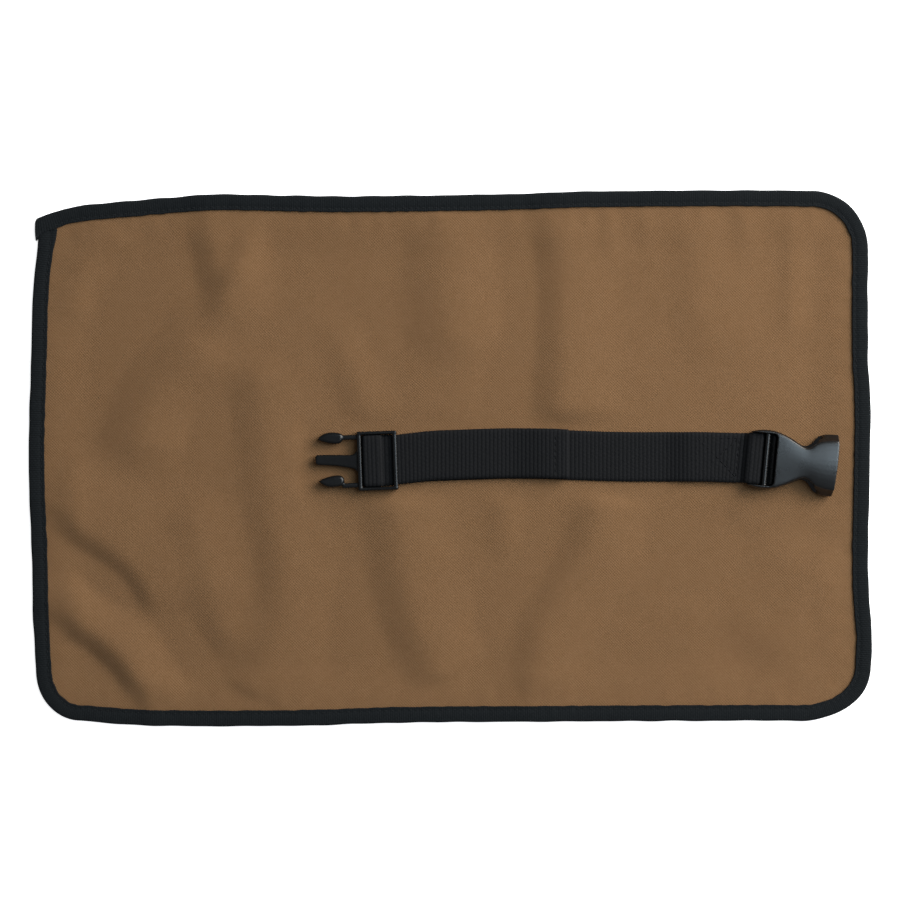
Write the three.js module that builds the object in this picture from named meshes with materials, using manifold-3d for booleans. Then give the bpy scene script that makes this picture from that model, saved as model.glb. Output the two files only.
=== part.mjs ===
// Tool roll laid open with its outer face up: a cloth panel, the tape that binds its edge, and a
// webbing strap across it with the two halves of a side-release buckle, unfastened.
// Millimetres, +X along the roll, +Y across it, +Z up. The origin is on the surface that the roll
// lies on, under the middle of its outline.

import * as THREE from "three";
import { mergeVertices } from "three/addons/utils/BufferGeometryUtils.js";
import Module from "manifold-3d";

const wasm = await Module();
wasm.setup();

// Driving dimensions of the cloth
const rollLength = 422;
const rollWidth = 267;
const clothThickness = 1.4;
const tapeThickness = 1;
const tapeDepth = 8;
const tapeEdgeRound = 0.6;
const tabDepth = 10.6;
const tabReach = 1.9;
const foldRise = 3.4;
const foldSpread = 17;
const edgeFoldShare = 0.28;

// Driving dimensions of the strap
const webbingWidth = 25.4;
const webbingThickness = 1.4;
const buckleSpacing = 186.4;
const tailReach = 96;
const hemLength = 8.5;
const loopReturn = 27.6;
const strapSway = 0.7;
const tailSway = 1.6;

// Driving dimensions of the buckle
const plugFrameLength = 20.8;
const plugFrameHeight = 5.6;
const railThickness = 1.7;
const barThickness = 2.2;
const middleBarWidth = 7.7;
const baseBarWidth = 2.1;
const outerBarWidth = 2.3;
const prongLength = 18.8;
const prongThickness = 4;
const prongStemWidth = 2.5;
const prongHeadLength = 12.4;
const prongHeadWidth = 5.2;
const guideLength = 20.1;
const guideWidth = 5;
const guideRootWidth = 6.6;
const guideThickness = 3;
const plugYaw = 0.5;
const plugSide = -1.3;
const socketLength = 44;
const socketMouthWidth = 31.2;
const socketHeight = 9;
const socketEdgeRound = 1.3;
const socketWall = 1.9;
const socketYaw = -5.2;
const socketSide = 0.35;
const mouthInset = 16.6;
const endBarWidth = 4.3;
const slotLength = 9.4;
const crossBarWidth = 2.4;
const mouthSideWall = 2.6;

// Clearances
const layerGap = 0.3;
const seamGap = 0.3;
const slotClearance = 0.35;

// Mesh divisions
const cellsAlong = 60;
const cellsAcross = 22;
const turnSteps = 4;

// The levels of the layers, from the surface up
const tapeHeight = 2 * tapeThickness + 2 * seamGap + clothThickness;
const edgeLift = tapeThickness + seamGap;
const layerStep = webbingThickness + layerGap;
const lowerStrand = clothThickness + layerGap + webbingThickness / 2;
const upperStrand = lowerStrand + layerStep;
const hemStrand = upperStrand + layerStep;
const barBottom = lowerStrand + webbingThickness / 2 + layerGap;
const barTop = barBottom + barThickness;
const barWrap = layerGap + webbingThickness / 2;
const outerBarBottom = upperStrand + webbingThickness / 2 + layerGap;
const buckleBase = clothThickness + layerGap;

// Where the buckle halves lie along the roll
const halfLength = rollLength / 2;
const halfWidth = rollWidth / 2;
const halfWebbing = webbingWidth / 2;
const socketRear = halfLength - mouthInset - socketLength;
const plugCentre = socketRear - buckleSpacing;
const plugRear = plugCentre + plugFrameLength / 2;
const slotHalf = halfWebbing + slotClearance;

// The roll's outer edge, side by side from the upper left corner round by the lower left one.
// along and out are shares of the half length and half width of the roll.
const leftEdge = [
  { along: 0.897, out: 0.974 },
  { along: 0.8, out: 0.976 },
  { along: 0.637, out: 0.988 },
  { along: 0.337, out: 0.995 },
  { along: 0, out: 1 },
  { along: -0.352, out: 0.993 },
  { along: -0.652, out: 0.988 },
  { along: -0.787, out: 0.982 },
];
const lowerEdge = [
  { along: -0.872, out: 0.981 },
  { along: -0.694, out: 1 },
  { along: -0.363, out: 1 },
  { along: -0.126, out: 0.989 },
  { along: 0.159, out: 0.985 },
  { along: 0.68, out: 0.981 },
  { along: 0.834, out: 0.981 },
];
const rightEdge = [
  { along: -0.779, out: 0.998 },
  { along: -0.652, out: 1 },
  { along: -0.412, out: 0.991 },
  { along: 0.15, out: 0.997 },
  { along: 0.397, out: 0.991 },
  { along: 0.779, out: 0.991 },
];
const upperEdge = [
  { along: 0.858, out: 0.998 },
  { along: 0.68, out: 1 },
  { along: 0.346, out: 0.996 },
  { along: 0.109, out: 0.985 },
  { along: -0.265, out: 0.978 },
  { along: -0.55, out: 0.985 },
  { along: -0.74, out: 0.966 },
  { along: -0.836, out: 0.951 },
  { along: -0.931, out: 0.914 },
  { along: -0.974, out: 0.897 },
];

// The folds of the cloth, each a ridge from one place to another. The places are shares of the
// half length and half width, bow is the share of the spread by which the line bends to its left,
// and rise and spread are shares of the fold rise and fold spread.
const folds = [
  { fromX: -0.56, fromY: 0.93, toX: -0.5, toY: 0.6, bow: 0.1, rise: 0.8, spread: 0.8 },
  { fromX: -0.48, fromY: 0.66, toX: -0.79, toY: 0.42, bow: 0.3, rise: 0.9, spread: 1 },
  { fromX: -0.92, fromY: -0.3, toX: -0.64, toY: -0.78, bow: 0.3, rise: 0.85, spread: 1 },
  { fromX: -0.92, fromY: -0.66, toX: -0.72, toY: -0.92, bow: 0, rise: 0.6, spread: 0.7 },
  { fromX: -0.45, fromY: 0.72, toX: -0.37, toY: 0.1, bow: 0.2, rise: 0.7, spread: 1.5 },
  { fromX: -0.36, fromY: -0.1, toX: -0.38, toY: -0.92, bow: -0.2, rise: 0.75, spread: 1.5 },
  { fromX: -0.14, fromY: -0.3, toX: -0.09, toY: -0.8, bow: 0, rise: 0.55, spread: 1.1 },
  { fromX: -0.22, fromY: 0.8, toX: -0.16, toY: 0.26, bow: 0, rise: 0.5, spread: 1.1 },
  { fromX: 0.02, fromY: 0.93, toX: 0, toY: 0.3, bow: 0, rise: 0.5, spread: 1.2 },
  { fromX: 0.27, fromY: 0.94, toX: 0.28, toY: 0.28, bow: -0.1, rise: 1, spread: 1 },
  { fromX: 0.36, fromY: -0.26, toX: 0.22, toY: -0.88, bow: 0.2, rise: 0.75, spread: 1 },
  { fromX: 0.46, fromY: 0.96, toX: 0.47, toY: 0.66, bow: 0, rise: 0.4, spread: 0.6 },
  { fromX: 0.66, fromY: 0.96, toX: 0.65, toY: 0.62, bow: 0, rise: 0.4, spread: 0.6 },
];

// Half of the socket's outline from its rear to its mouth, as shares of its length and half mouth
const socketOutline = [
  { along: -0.012, half: 0.845 },
  { along: 0.041, half: 0.897 },
  { along: 0.1, half: 0.929 },
  { along: 0.182, half: 0.942 },
  { along: 0.3, half: 0.9 },
  { along: 0.404, half: 0.795 },
  { along: 0.495, half: 0.654 },
  { along: 0.575, half: 0.558 },
  { along: 0.636, half: 0.519 },
  { along: 0.682, half: 0.59 },
  { along: 0.72, half: 0.76 },
  { along: 0.775, half: 0.92 },
  { along: 0.86, half: 0.972 },
  { along: 1, half: 1 },
];

const clamp01 = (t) => Math.min(1, Math.max(0, t));
const ease = (t) => clamp01(t) ** 2 * (3 - 2 * clamp01(t));
const bell = (t) => (Math.abs(t) < 1 ? Math.cos((t * Math.PI) / 2) ** 2 : 0);
const radians = THREE.MathUtils.degToRad;

// Meshes and solids

function meshGeometry(points, triangles) {
  const geometry = new THREE.BufferGeometry();
  geometry.setAttribute("position", new THREE.Float32BufferAttribute(points.flat(), 3));
  geometry.setIndex(triangles.flat());
  return geometry;
}

function solidOf(geometry) {
  geometry.deleteAttribute("normal");
  geometry.deleteAttribute("uv");
  const merged = mergeVertices(geometry, 1e-4);
  return new wasm.Manifold(
    new wasm.Mesh({
      numProp: 3,
      vertProperties: Float32Array.from(merged.attributes.position.array),
      triVerts: Uint32Array.from(merged.index.array),
    }),
  );
}

function geometryOf(solid) {
  const mesh = solid.getMesh();
  const geometry = new THREE.BufferGeometry();
  geometry.setAttribute("position", new THREE.Float32BufferAttribute(mesh.vertProperties, 3));
  geometry.setIndex(Array.from(mesh.triVerts));
  return geometry;
}

// An outline in the XY plane raised from one level to another, with its edges rounded if asked
function raised(shape, fromZ, toZ, round = 0) {
  const geometry = new THREE.ExtrudeGeometry(shape, {
    depth: toZ - fromZ - 2 * round,
    bevelEnabled: round > 0,
    bevelThickness: round,
    bevelSize: round,
    bevelOffset: -round,
    bevelSegments: 2,
    curveSegments: 3,
  });
  geometry.translate(0, 0, fromZ + round);
  return solidOf(geometry);
}

function roundedRectangle(fromX, toX, fromY, toY, radius) {
  const shape = new THREE.Shape();
  shape.moveTo(fromX + radius, fromY);
  shape.lineTo(toX - radius, fromY);
  shape.quadraticCurveTo(toX, fromY, toX, fromY + radius);
  shape.lineTo(toX, toY - radius);
  shape.quadraticCurveTo(toX, toY, toX - radius, toY);
  shape.lineTo(fromX + radius, toY);
  shape.quadraticCurveTo(fromX, toY, fromX, toY - radius);
  shape.lineTo(fromX, fromY + radius);
  shape.quadraticCurveTo(fromX, fromY, fromX + radius, fromY);
  return shape;
}

// A straight bar across the buckle, with a rounded section in the XZ plane
function crossBar(fromX, toX, fromZ, toZ, halfSpan, radius) {
  const section = roundedRectangle(fromX, toX, fromZ, toZ, radius);
  const geometry = new THREE.ExtrudeGeometry(section, {
    depth: 2 * halfSpan,
    bevelEnabled: false,
    curveSegments: 3,
  });
  geometry.rotateX(Math.PI / 2);
  geometry.translate(0, halfSpan, 0);
  return solidOf(geometry);
}

// The outline of the roll

function cornerArc(from, to, centre) {
  const points = [];
  for (let step = 0; step <= 12; step += 1) {
    const angle = (step / 12) * (Math.PI / 2);
    const towardFrom = Math.cos(angle);
    const towardTo = Math.sin(angle);
    points.push(
      new THREE.Vector2(
        centre.x + (from.x - centre.x) * towardFrom + (to.x - centre.x) * towardTo,
        centre.y + (from.y - centre.y) * towardFrom + (to.y - centre.y) * towardTo,
      ),
    );
  }
  return points;
}

function sidePoints(rows) {
  return new THREE.SplineCurve(rows).getPoints(8 * (rows.length - 1));
}

function outlineSides() {
  const left = leftEdge.map((row) => new THREE.Vector2(-row.out * halfLength, row.along * halfWidth));
  const lower = lowerEdge.map((row) => new THREE.Vector2(row.along * halfLength, -row.out * halfWidth));
  const right = rightEdge.map((row) => new THREE.Vector2(row.out * halfLength, row.along * halfWidth));
  const upper = upperEdge.map((row) => new THREE.Vector2(row.along * halfLength, row.out * halfWidth));
  const corner = (before, after, centre) => cornerArc(before[before.length - 1], after[0], centre);
  const lowerLeft = corner(left, lower, new THREE.Vector2(lower[0].x, left[left.length - 1].y));
  const lowerRight = corner(lower, right, new THREE.Vector2(lower[lower.length - 1].x, right[0].y));
  const upperRight = corner(right, upper, new THREE.Vector2(upper[0].x, right[right.length - 1].y));
  const middle = 6;
  return [
    [...sidePoints(left), ...lowerLeft.slice(1, middle + 1)],
    [...lowerLeft.slice(middle), ...sidePoints(lower).slice(1), ...lowerRight.slice(1, middle + 1)],
    [...lowerRight.slice(middle), ...sidePoints(right).slice(1), ...upperRight.slice(1, middle + 1)],
    [...upperRight.slice(middle), ...sidePoints(upper).slice(1)],
  ];
}

function evenlySpaced(points, count) {
  const lengths = [0];
  for (let i = 1; i < points.length; i += 1) {
    lengths.push(lengths[i - 1] + points[i].distanceTo(points[i - 1]));
  }
  const total = lengths[lengths.length - 1];
  const spaced = [];
  let segment = 1;
  for (let i = 0; i <= count; i += 1) {
    const wanted = (total * i) / count;
    while (segment < points.length - 1 && lengths[segment] < wanted) segment += 1;
    const share = (wanted - lengths[segment - 1]) / (lengths[segment] - lengths[segment - 1]);
    spaced.push(new THREE.Vector2().lerpVectors(points[segment - 1], points[segment], share));
  }
  return spaced;
}

// Stations round the outline, each with its place on the outer edge and the way straight inwards.
// The first one is the square upper left corner, where the way inwards is along the mitre.
function outlineStations() {
  const counts = [cellsAcross, cellsAlong, cellsAcross, cellsAlong];
  const edge = outlineSides().flatMap((side, i) => evenlySpaced(side, counts[i]).slice(0, -1));
  const inwardOf = (from, to) => new THREE.Vector2(from.y - to.y, to.x - from.x).normalize();
  return edge.map((place, i) => {
    const before = edge[(i + edge.length - 1) % edge.length];
    const after = edge[(i + 1) % edge.length];
    if (i > 0) return { place, inward: inwardOf(before, after) };
    const arriving = inwardOf(before, place);
    const leaving = inwardOf(place, after);
    const mitre = arriving.clone().add(leaving).divideScalar(1 + arriving.dot(leaving));
    return { place, inward: mitre };
  });
}

const stations = outlineStations();
const flatBorder = tapeDepth + 1.5;

function insetPlace(station, depth) {
  return station.place.clone().addScaledVector(station.inward, depth);
}

// The lie of the cloth

function ridge(fold, x, y) {
  const from = new THREE.Vector2(fold.fromX * halfLength, fold.fromY * halfWidth);
  const to = new THREE.Vector2(fold.toX * halfLength, fold.toY * halfWidth);
  const along = to.clone().sub(from);
  const length = along.length();
  along.normalize();
  const offset = new THREE.Vector2(x, y).sub(from);
  const travelled = offset.dot(along) / length;
  const spread = fold.spread * foldSpread;
  const bend = fold.bow * foldSpread * bell(2 * travelled - 1);
  const aside = offset.cross(along) + bend;
  const beyond = Math.max(-travelled, travelled - 1, 0) * length;
  return fold.rise * foldRise * bell(aside / spread) * bell(beyond / (1.6 * spread));
}

// How free the cloth is to rise: not at all under the strap and the buckle, fully some way off
function freedom(x, y) {
  const pressedHalf = halfWebbing + 3;
  const release = 0.8 * webbingWidth;
  const fromX = plugCentre - plugFrameLength / 2 - prongLength - guideRootWidth;
  const toX = socketRear + socketLength;
  const across = Math.max(0, Math.abs(y) - pressedHalf);
  const before = Math.max(0, fromX - x);
  const after = Math.max(0, x - toX);
  return ease(Math.hypot(across, before, after) / release);
}

function foldHeight(x, y) {
  const total = folds.reduce((sum, fold) => sum + ridge(fold, x, y), 0);
  return Math.min(total, 1.25 * foldRise) * freedom(x, y);
}

function borderHeight(station) {
  const place = insetPlace(station, flatBorder);
  return edgeFoldShare * foldHeight(place.x, place.y);
}

function distanceToEdge(x, y) {
  const point = new THREE.Vector3(x, y, 0);
  const nearest = new THREE.Vector3();
  const segment = new THREE.Line3();
  return stations.reduce((least, station, i) => {
    const next = stations[(i + 1) % stations.length];
    segment.start.set(station.place.x, station.place.y, 0);
    segment.end.set(next.place.x, next.place.y, 0);
    segment.closestPointToPoint(point, true, nearest);
    return Math.min(least, nearest.distanceTo(point));
  }, Infinity);
}

// The underside of the cloth inside the border: lifted where the tape holds it, then down on the
// surface, with the folds growing from the border inwards
function clothUnderside(x, y) {
  const inside = Math.max(0, distanceToEdge(x, y) - flatBorder);
  const sag = edgeLift * (1 - ease(inside / (2 * tapeDepth)));
  const share = edgeFoldShare + (1 - edgeFoldShare) * ease(inside / (3 * tapeDepth));
  return sag + share * foldHeight(x, y);
}

// The panel: a grid that spans the four sides of the border, and the border itself

function borderSide(first, count) {
  const places = [];
  for (let i = 0; i <= count; i += 1) {
    places.push(insetPlace(stations[(first + i) % stations.length], flatBorder));
  }
  return places;
}

function panelGrid() {
  const left = borderSide(0, cellsAcross).reverse();
  const lower = borderSide(cellsAcross, cellsAlong);
  const right = borderSide(cellsAcross + cellsAlong, cellsAcross);
  const upper = borderSide(2 * cellsAcross + cellsAlong, cellsAlong).reverse();
  const grid = [];
  for (let j = 0; j <= cellsAcross; j += 1) {
    const v = j / cellsAcross;
    const row = [];
    for (let i = 0; i <= cellsAlong; i += 1) {
      const u = i / cellsAlong;
      const place = new THREE.Vector2();
      place.addScaledVector(lower[i], 1 - v).addScaledVector(upper[i], v);
      place.addScaledVector(left[j], 1 - u).addScaledVector(right[j], u);
      place.addScaledVector(lower[0], -(1 - u) * (1 - v)).addScaledVector(lower[cellsAlong], -u * (1 - v));
      place.addScaledVector(upper[0], -(1 - u) * v).addScaledVector(upper[cellsAlong], -u * v);
      row.push(place);
    }
    grid.push(row);
  }
  return grid;
}

// The grid place of each station, walked round the border in the stations' own order
function stationCells() {
  const cells = [];
  for (let j = cellsAcross; j > 0; j -= 1) cells.push([0, j]);
  for (let i = 0; i < cellsAlong; i += 1) cells.push([i, 0]);
  for (let j = 0; j < cellsAcross; j += 1) cells.push([cellsAlong, j]);
  for (let i = cellsAlong; i > 0; i -= 1) cells.push([i, cellsAcross]);
  return cells;
}

// Whether a cell is cut from its lower left corner to its upper right one. The cut follows the lie of
// the folds, but in a corner cell of the grid it starts at the corner, where the cell's sides are in line.
function splitsUpwards(i, j, heights) {
  const atEnd = i === 0 || i === cellsAlong - 1;
  const atSide = j === 0 || j === cellsAcross - 1;
  if (atEnd && atSide) return (i === 0) === (j === 0);
  const upwards = Math.abs(heights[j][i] - heights[j + 1][i + 1]);
  const downwards = Math.abs(heights[j][i + 1] - heights[j + 1][i]);
  return upwards <= downwards;
}

function panelGeometry() {
  const grid = panelGrid();
  const cells = stationCells();
  const heights = grid.map((row) => row.map((place) => clothUnderside(place.x, place.y)));
  stations.forEach((station, k) => {
    const [i, j] = cells[k];
    heights[j][i] = edgeLift + borderHeight(station);
  });
  const points = [];
  const triangles = [];
  const layer = (lift) => {
    const first = points.length;
    grid.forEach((row, j) => {
      row.forEach((place, i) => points.push([place.x, place.y, heights[j][i] + lift]));
    });
    stations.forEach((station) => {
      const place = insetPlace(station, tapeThickness + seamGap);
      points.push([place.x, place.y, edgeLift + borderHeight(station) + lift]);
    });
    return first;
  };
  const lower = layer(0);
  const upper = layer(clothThickness);
  const at = (i, j) => j * (cellsAlong + 1) + i;
  const rim = (k) => (cellsAlong + 1) * (cellsAcross + 1) + (k % stations.length);
  const faceBoth = (a, b, c) => {
    triangles.push([upper + a, upper + b, upper + c]);
    triangles.push([lower + a, lower + c, lower + b]);
  };
  for (let j = 0; j < cellsAcross; j += 1) {
    for (let i = 0; i < cellsAlong; i += 1) {
      const corners = [at(i, j), at(i + 1, j), at(i + 1, j + 1), at(i, j + 1)];
      if (!splitsUpwards(i, j, heights)) corners.push(corners.shift());
      const [a, b, c, d] = corners;
      faceBoth(a, b, c);
      faceBoth(a, c, d);
    }
  }
  stations.forEach((station, k) => {
    const next = (k + 1) % stations.length;
    const inner = at(...cells[k]);
    const innerNext = at(...cells[next]);
    faceBoth(rim(k), rim(next), innerNext);
    faceBoth(rim(k), innerNext, inner);
    triangles.push([lower + rim(k), lower + rim(next), upper + rim(next)]);
    triangles.push([lower + rim(k), upper + rim(next), upper + rim(k)]);
  });
  return meshGeometry(points, triangles);
}

// The binding: a folded tape swept round the edge from below the tab to the tab's end

function tapeSection(depth) {
  const round = tapeEdgeRound;
  const wall = tapeThickness;
  return [
    [depth, 0],
    [round, 0],
    [0, round],
    [0, tapeHeight - round],
    [round, tapeHeight],
    [depth, tapeHeight],
    [depth, tapeHeight - wall],
    [wall, tapeHeight - wall],
    [wall, wall],
    [depth, wall],
  ];
}

function bindingRun() {
  const corner = stations[0];
  const last = stations[stations.length - 1];
  const first = stations[1];
  const startDrop = tabDepth + seamGap;
  const run = [];
  let travelled = 0;
  stations.slice(1).forEach((station, i) => {
    const before = i === 0 ? corner : stations[i];
    const step = station.place.distanceTo(before.place);
    if (travelled < startDrop && travelled + step >= startDrop) {
      const share = (startDrop - travelled) / step;
      run.push({
        place: before.place.clone().lerp(station.place, share),
        inward: (i === 0 ? first.inward : before.inward).clone().lerp(station.inward, share),
        lift: THREE.MathUtils.lerp(borderHeight(before), borderHeight(station), share),
        depth: tapeDepth,
      });
    }
    travelled += step;
    if (travelled > startDrop + seamGap) {
      const { place, inward } = station;
      run.push({ place, inward, lift: borderHeight(station), depth: tapeDepth });
    }
  });
  const ahead = corner.place.clone().sub(last.place).normalize();
  const inward = new THREE.Vector2(-ahead.y, ahead.x);
  run[run.length - 1].depth = (tapeDepth + tabDepth) / 2;
  run.push({ place: corner.place, inward, lift: borderHeight(corner), depth: tabDepth });
  run.push({
    place: corner.place.clone().addScaledVector(ahead, tabReach),
    inward,
    lift: borderHeight(corner),
    depth: tabDepth,
  });
  return run;
}

function bindingGeometry() {
  const run = bindingRun();
  const points = [];
  run.forEach((station) => {
    tapeSection(station.depth).forEach(([depth, level]) => {
      const place = insetPlace(station, depth);
      points.push([place.x, place.y, level + station.lift]);
    });
  });
  const size = tapeSection(tapeDepth).length;
  const triangles = [];
  for (let k = 0; k < run.length - 1; k += 1) {
    for (let m = 0; m < size; m += 1) {
      const next = (m + 1) % size;
      const a = k * size + m;
      const b = k * size + next;
      triangles.push([a, b + size, b]);
      triangles.push([a, a + size, b + size]);
    }
  }
  const section = tapeSection(tapeDepth).map(([depth, level]) => new THREE.Vector2(depth, level));
  const end = (run.length - 1) * size;
  THREE.ShapeUtils.triangulateShape(section, []).forEach(([a, b, c]) => {
    triangles.push([a, c, b]);
    triangles.push([end + a, end + b, end + c]);
  });
  return meshGeometry(points, triangles);
}

// The strap: one band of webbing, followed along its middle from the hem's cut end

function nearPlug(x) {
  return 1 - ease((x - plugRear - 2) / (1.2 * webbingWidth));
}

function nearSocket(x) {
  return ease((x - socketRear + webbingWidth) / (0.85 * webbingWidth));
}

function strapCentre(x, sway) {
  const plugLine = plugSide + (x - plugCentre) * Math.tan(radians(plugYaw));
  const socketLine = socketSide + (x - socketRear) * Math.tan(radians(socketYaw));
  const plugShare = nearPlug(x);
  const socketShare = nearSocket(x);
  return plugLine * plugShare + socketLine * socketShare + sway * (1 - plugShare - socketShare);
}

function strapSlant(x) {
  return Math.tan(radians(plugYaw * nearPlug(x) + socketYaw * nearSocket(x)));
}

function strapPath() {
  const path = [];
  const go = (x, z, sway = strapSway) => path.push({ x, z, sway });
  const turn = (x, z, radius, fromDegrees, toDegrees, sway = strapSway) => {
    for (let step = 0; step <= turnSteps; step += 1) {
      const angle = radians(fromDegrees + ((toDegrees - fromDegrees) * step) / turnSteps);
      go(x + radius * Math.cos(angle), z + radius * Math.sin(angle), sway);
    }
  };
  const straight = (fromX, toX, z, pieces, sway = strapSway) => {
    for (let step = 1; step < pieces; step += 1) go(fromX + ((toX - fromX) * step) / pieces, z, sway);
  };
  const climb = (fromX, toX, fromZ, toZ) => {
    for (let step = 0; step <= 4; step += 1) {
      go(fromX + ((toX - fromX) * step) / 4, fromZ + (toZ - fromZ) * ease(step / 4));
    }
  };
  const middleBarFrom = plugCentre - plugFrameLength / 2 + baseBarWidth + layerStep + layerGap;
  const middleBarTo = middleBarFrom + middleBarWidth;
  const tailEnd = plugCentre + tailReach;
  const hemTurn = layerStep / 2;
  const hemTurnX = tailEnd - hemTurn - webbingThickness / 2;
  const endBarTo = socketRear + endBarWidth + layerGap;
  const returnEnd = socketRear - loopReturn;
  const outOfSlot = middleBarTo + 2 * barWrap;

  go(tailEnd - hemLength, hemStrand, tailSway);
  turn(hemTurnX, upperStrand + hemTurn, hemTurn, 90, -90, tailSway);
  straight(hemTurnX, outOfSlot, upperStrand, 14, tailSway);
  turn(outOfSlot, upperStrand + barWrap, barWrap, 270, 180, tailSway);
  turn(middleBarTo, barTop, barWrap, 0, 90);
  turn(middleBarFrom, barTop, barWrap, 90, 180);
  turn(middleBarFrom, barBottom, barWrap, 180, 270);
  straight(middleBarFrom, returnEnd - 8, lowerStrand, 18);
  climb(returnEnd - 8, returnEnd - 0.5, lowerStrand, upperStrand);
  straight(returnEnd - 0.5, socketRear - 4, upperStrand, 4);
  climb(socketRear - 4, socketRear, upperStrand, barTop + barWrap);
  turn(endBarTo, barTop, barWrap, 90, 0);
  turn(endBarTo, barBottom, barWrap, 0, -90);
  straight(endBarTo, returnEnd, lowerStrand, 5);
  go(returnEnd, lowerStrand);
  return path;
}

function strapGeometry() {
  const path = strapPath();
  const points = [];
  const triangles = [];
  path.forEach((here, k) => {
    const before = path[Math.max(0, k - 1)];
    const after = path[Math.min(path.length - 1, k + 1)];
    const ahead = new THREE.Vector2(after.x - before.x, after.z - before.z).normalize();
    for (const [side, across] of [[1, 1], [1, -1], [-1, -1], [-1, 1]]) {
      const x = here.x - (side * ahead.y * webbingThickness) / 2;
      const z = here.z + (side * ahead.x * webbingThickness) / 2;
      const aside = across * halfWebbing;
      points.push([x - aside * strapSlant(here.x), strapCentre(here.x, here.sway) + aside, z]);
    }
  });
  for (let k = 0; k < path.length - 1; k += 1) {
    for (let m = 0; m < 4; m += 1) {
      const a = 4 * k + m;
      const b = 4 * k + ((m + 1) % 4);
      triangles.push([a, b, b + 4]);
      triangles.push([a, b + 4, a + 4]);
    }
  }
  const end = 4 * (path.length - 1);
  triangles.push([0, 2, 1], [0, 3, 2], [end, end + 1, end + 2], [end, end + 2, end + 3]);
  return meshGeometry(points, triangles);
}

// The plug: a frame with three bars, two sprung prongs with barbed heads and a guide between them.
// It is drawn in its own place, with the prongs towards -X and its base at the level 0.

function prongHead(side) {
  const tip = -plugFrameLength / 2 - prongLength;
  const heel = tip + prongHeadLength;
  const outer = slotHalf;
  const inner = outer - prongHeadWidth;
  const crest = tip + 0.6 * prongHeadLength;
  const shoulder = outer - 0.12 * prongHeadWidth;
  const shape = new THREE.Shape();
  shape.moveTo(tip, side * (inner + 0.4 * prongHeadWidth));
  shape.quadraticCurveTo(tip + 0.25 * prongHeadLength, side * outer, crest, side * outer);
  shape.quadraticCurveTo(tip + 0.85 * prongHeadLength, side * outer, heel, side * shoulder);
  shape.lineTo(heel, side * (outer - prongStemWidth));
  shape.quadraticCurveTo(heel, side * inner, heel - 0.3 * prongHeadLength, side * inner);
  shape.lineTo(tip + 0.4 * prongHeadLength, side * (inner + 0.05 * prongHeadWidth));
  shape.lineTo(tip, side * (inner + 0.4 * prongHeadWidth));
  return shape;
}

function guideShape() {
  const root = -plugFrameLength / 2 + 0.5;
  const tip = -plugFrameLength / 2 - guideLength;
  const round = 0.2 * guideWidth;
  const flare = 0.4 * guideWidth;
  const half = guideWidth / 2;
  const rootHalf = guideRootWidth / 2;
  const shape = new THREE.Shape();
  shape.moveTo(tip + round, -half);
  shape.lineTo(root - flare, -rootHalf);
  shape.quadraticCurveTo(root - 0.3 * flare, -rootHalf, root, -rootHalf - flare);
  shape.lineTo(root, rootHalf + flare);
  shape.quadraticCurveTo(root - 0.3 * flare, rootHalf, root - flare, rootHalf);
  shape.lineTo(tip + round, half);
  shape.quadraticCurveTo(tip, half, tip, half - round);
  shape.lineTo(tip, round - half);
  shape.quadraticCurveTo(tip, -half, tip + round, -half);
  return shape;
}

// A strip on one side of the buckle, between two distances from its middle
function sideStrip(fromX, toX, side, nearY, farY, radius) {
  const fromY = side > 0 ? nearY : -farY;
  const toY = side > 0 ? farY : -nearY;
  return roundedRectangle(fromX, toX, fromY, toY, radius);
}

function plugGeometry() {
  const front = -plugFrameLength / 2;
  const rear = plugFrameLength / 2;
  const outer = slotHalf + railThickness;
  const middleFrom = front + baseBarWidth + layerStep + layerGap;
  const middleTo = middleFrom + middleBarWidth;
  const middleLow = barBottom - buckleBase;
  const rearLow = outerBarBottom - buckleBase;
  const prongFrom = (plugFrameHeight - prongThickness) / 2;
  const guideFrom = (plugFrameHeight - guideThickness) / 2;
  const heel = front - prongLength + prongHeadLength;
  const bars = [
    crossBar(front, front + baseBarWidth, 0, plugFrameHeight, outer - 0.3, 0.5),
    crossBar(middleFrom, middleTo, middleLow, middleLow + barThickness, slotHalf + 0.5, 0.2),
    crossBar(rear - outerBarWidth, rear, rearLow, rearLow + barThickness, outer, 0.7),
  ];
  const rails = [-1, 1].map((side) => {
    return raised(sideStrip(front, rear, side, slotHalf, outer, 0.6), 0, plugFrameHeight);
  });
  const prongs = [-1, 1].flatMap((side) => {
    const stem = sideStrip(heel - 1, front + 0.8, side, slotHalf - prongStemWidth, slotHalf, 0.3);
    return [
      raised(prongHead(side), prongFrom, prongFrom + prongThickness),
      raised(stem, prongFrom + 0.4, prongFrom + prongThickness - 0.4),
    ];
  });
  const guide = raised(guideShape(), guideFrom, guideFrom + guideThickness);
  return geometryOf([...bars, ...rails, ...prongs, guide].reduce((whole, piece) => whole.add(piece)));
}

// The socket: a hollow waisted body with its mouth towards +X, a bar at its rear that the webbing
// goes round, and a thinner bar in the slot beside it. Its rear is at X 0, its base at the level 0.

function socketShape() {
  const mouthHalf = socketMouthWidth / 2;
  const places = socketOutline.map(({ along, half }) => {
    return new THREE.Vector2(along * socketLength, half * mouthHalf);
  });
  const side = new THREE.SplineCurve(places).getPoints(2 * (places.length - 1));
  const mirrored = side.map((place) => new THREE.Vector2(place.x, -place.y)).reverse();
  return new THREE.Shape([...mirrored, ...side]);
}

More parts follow.
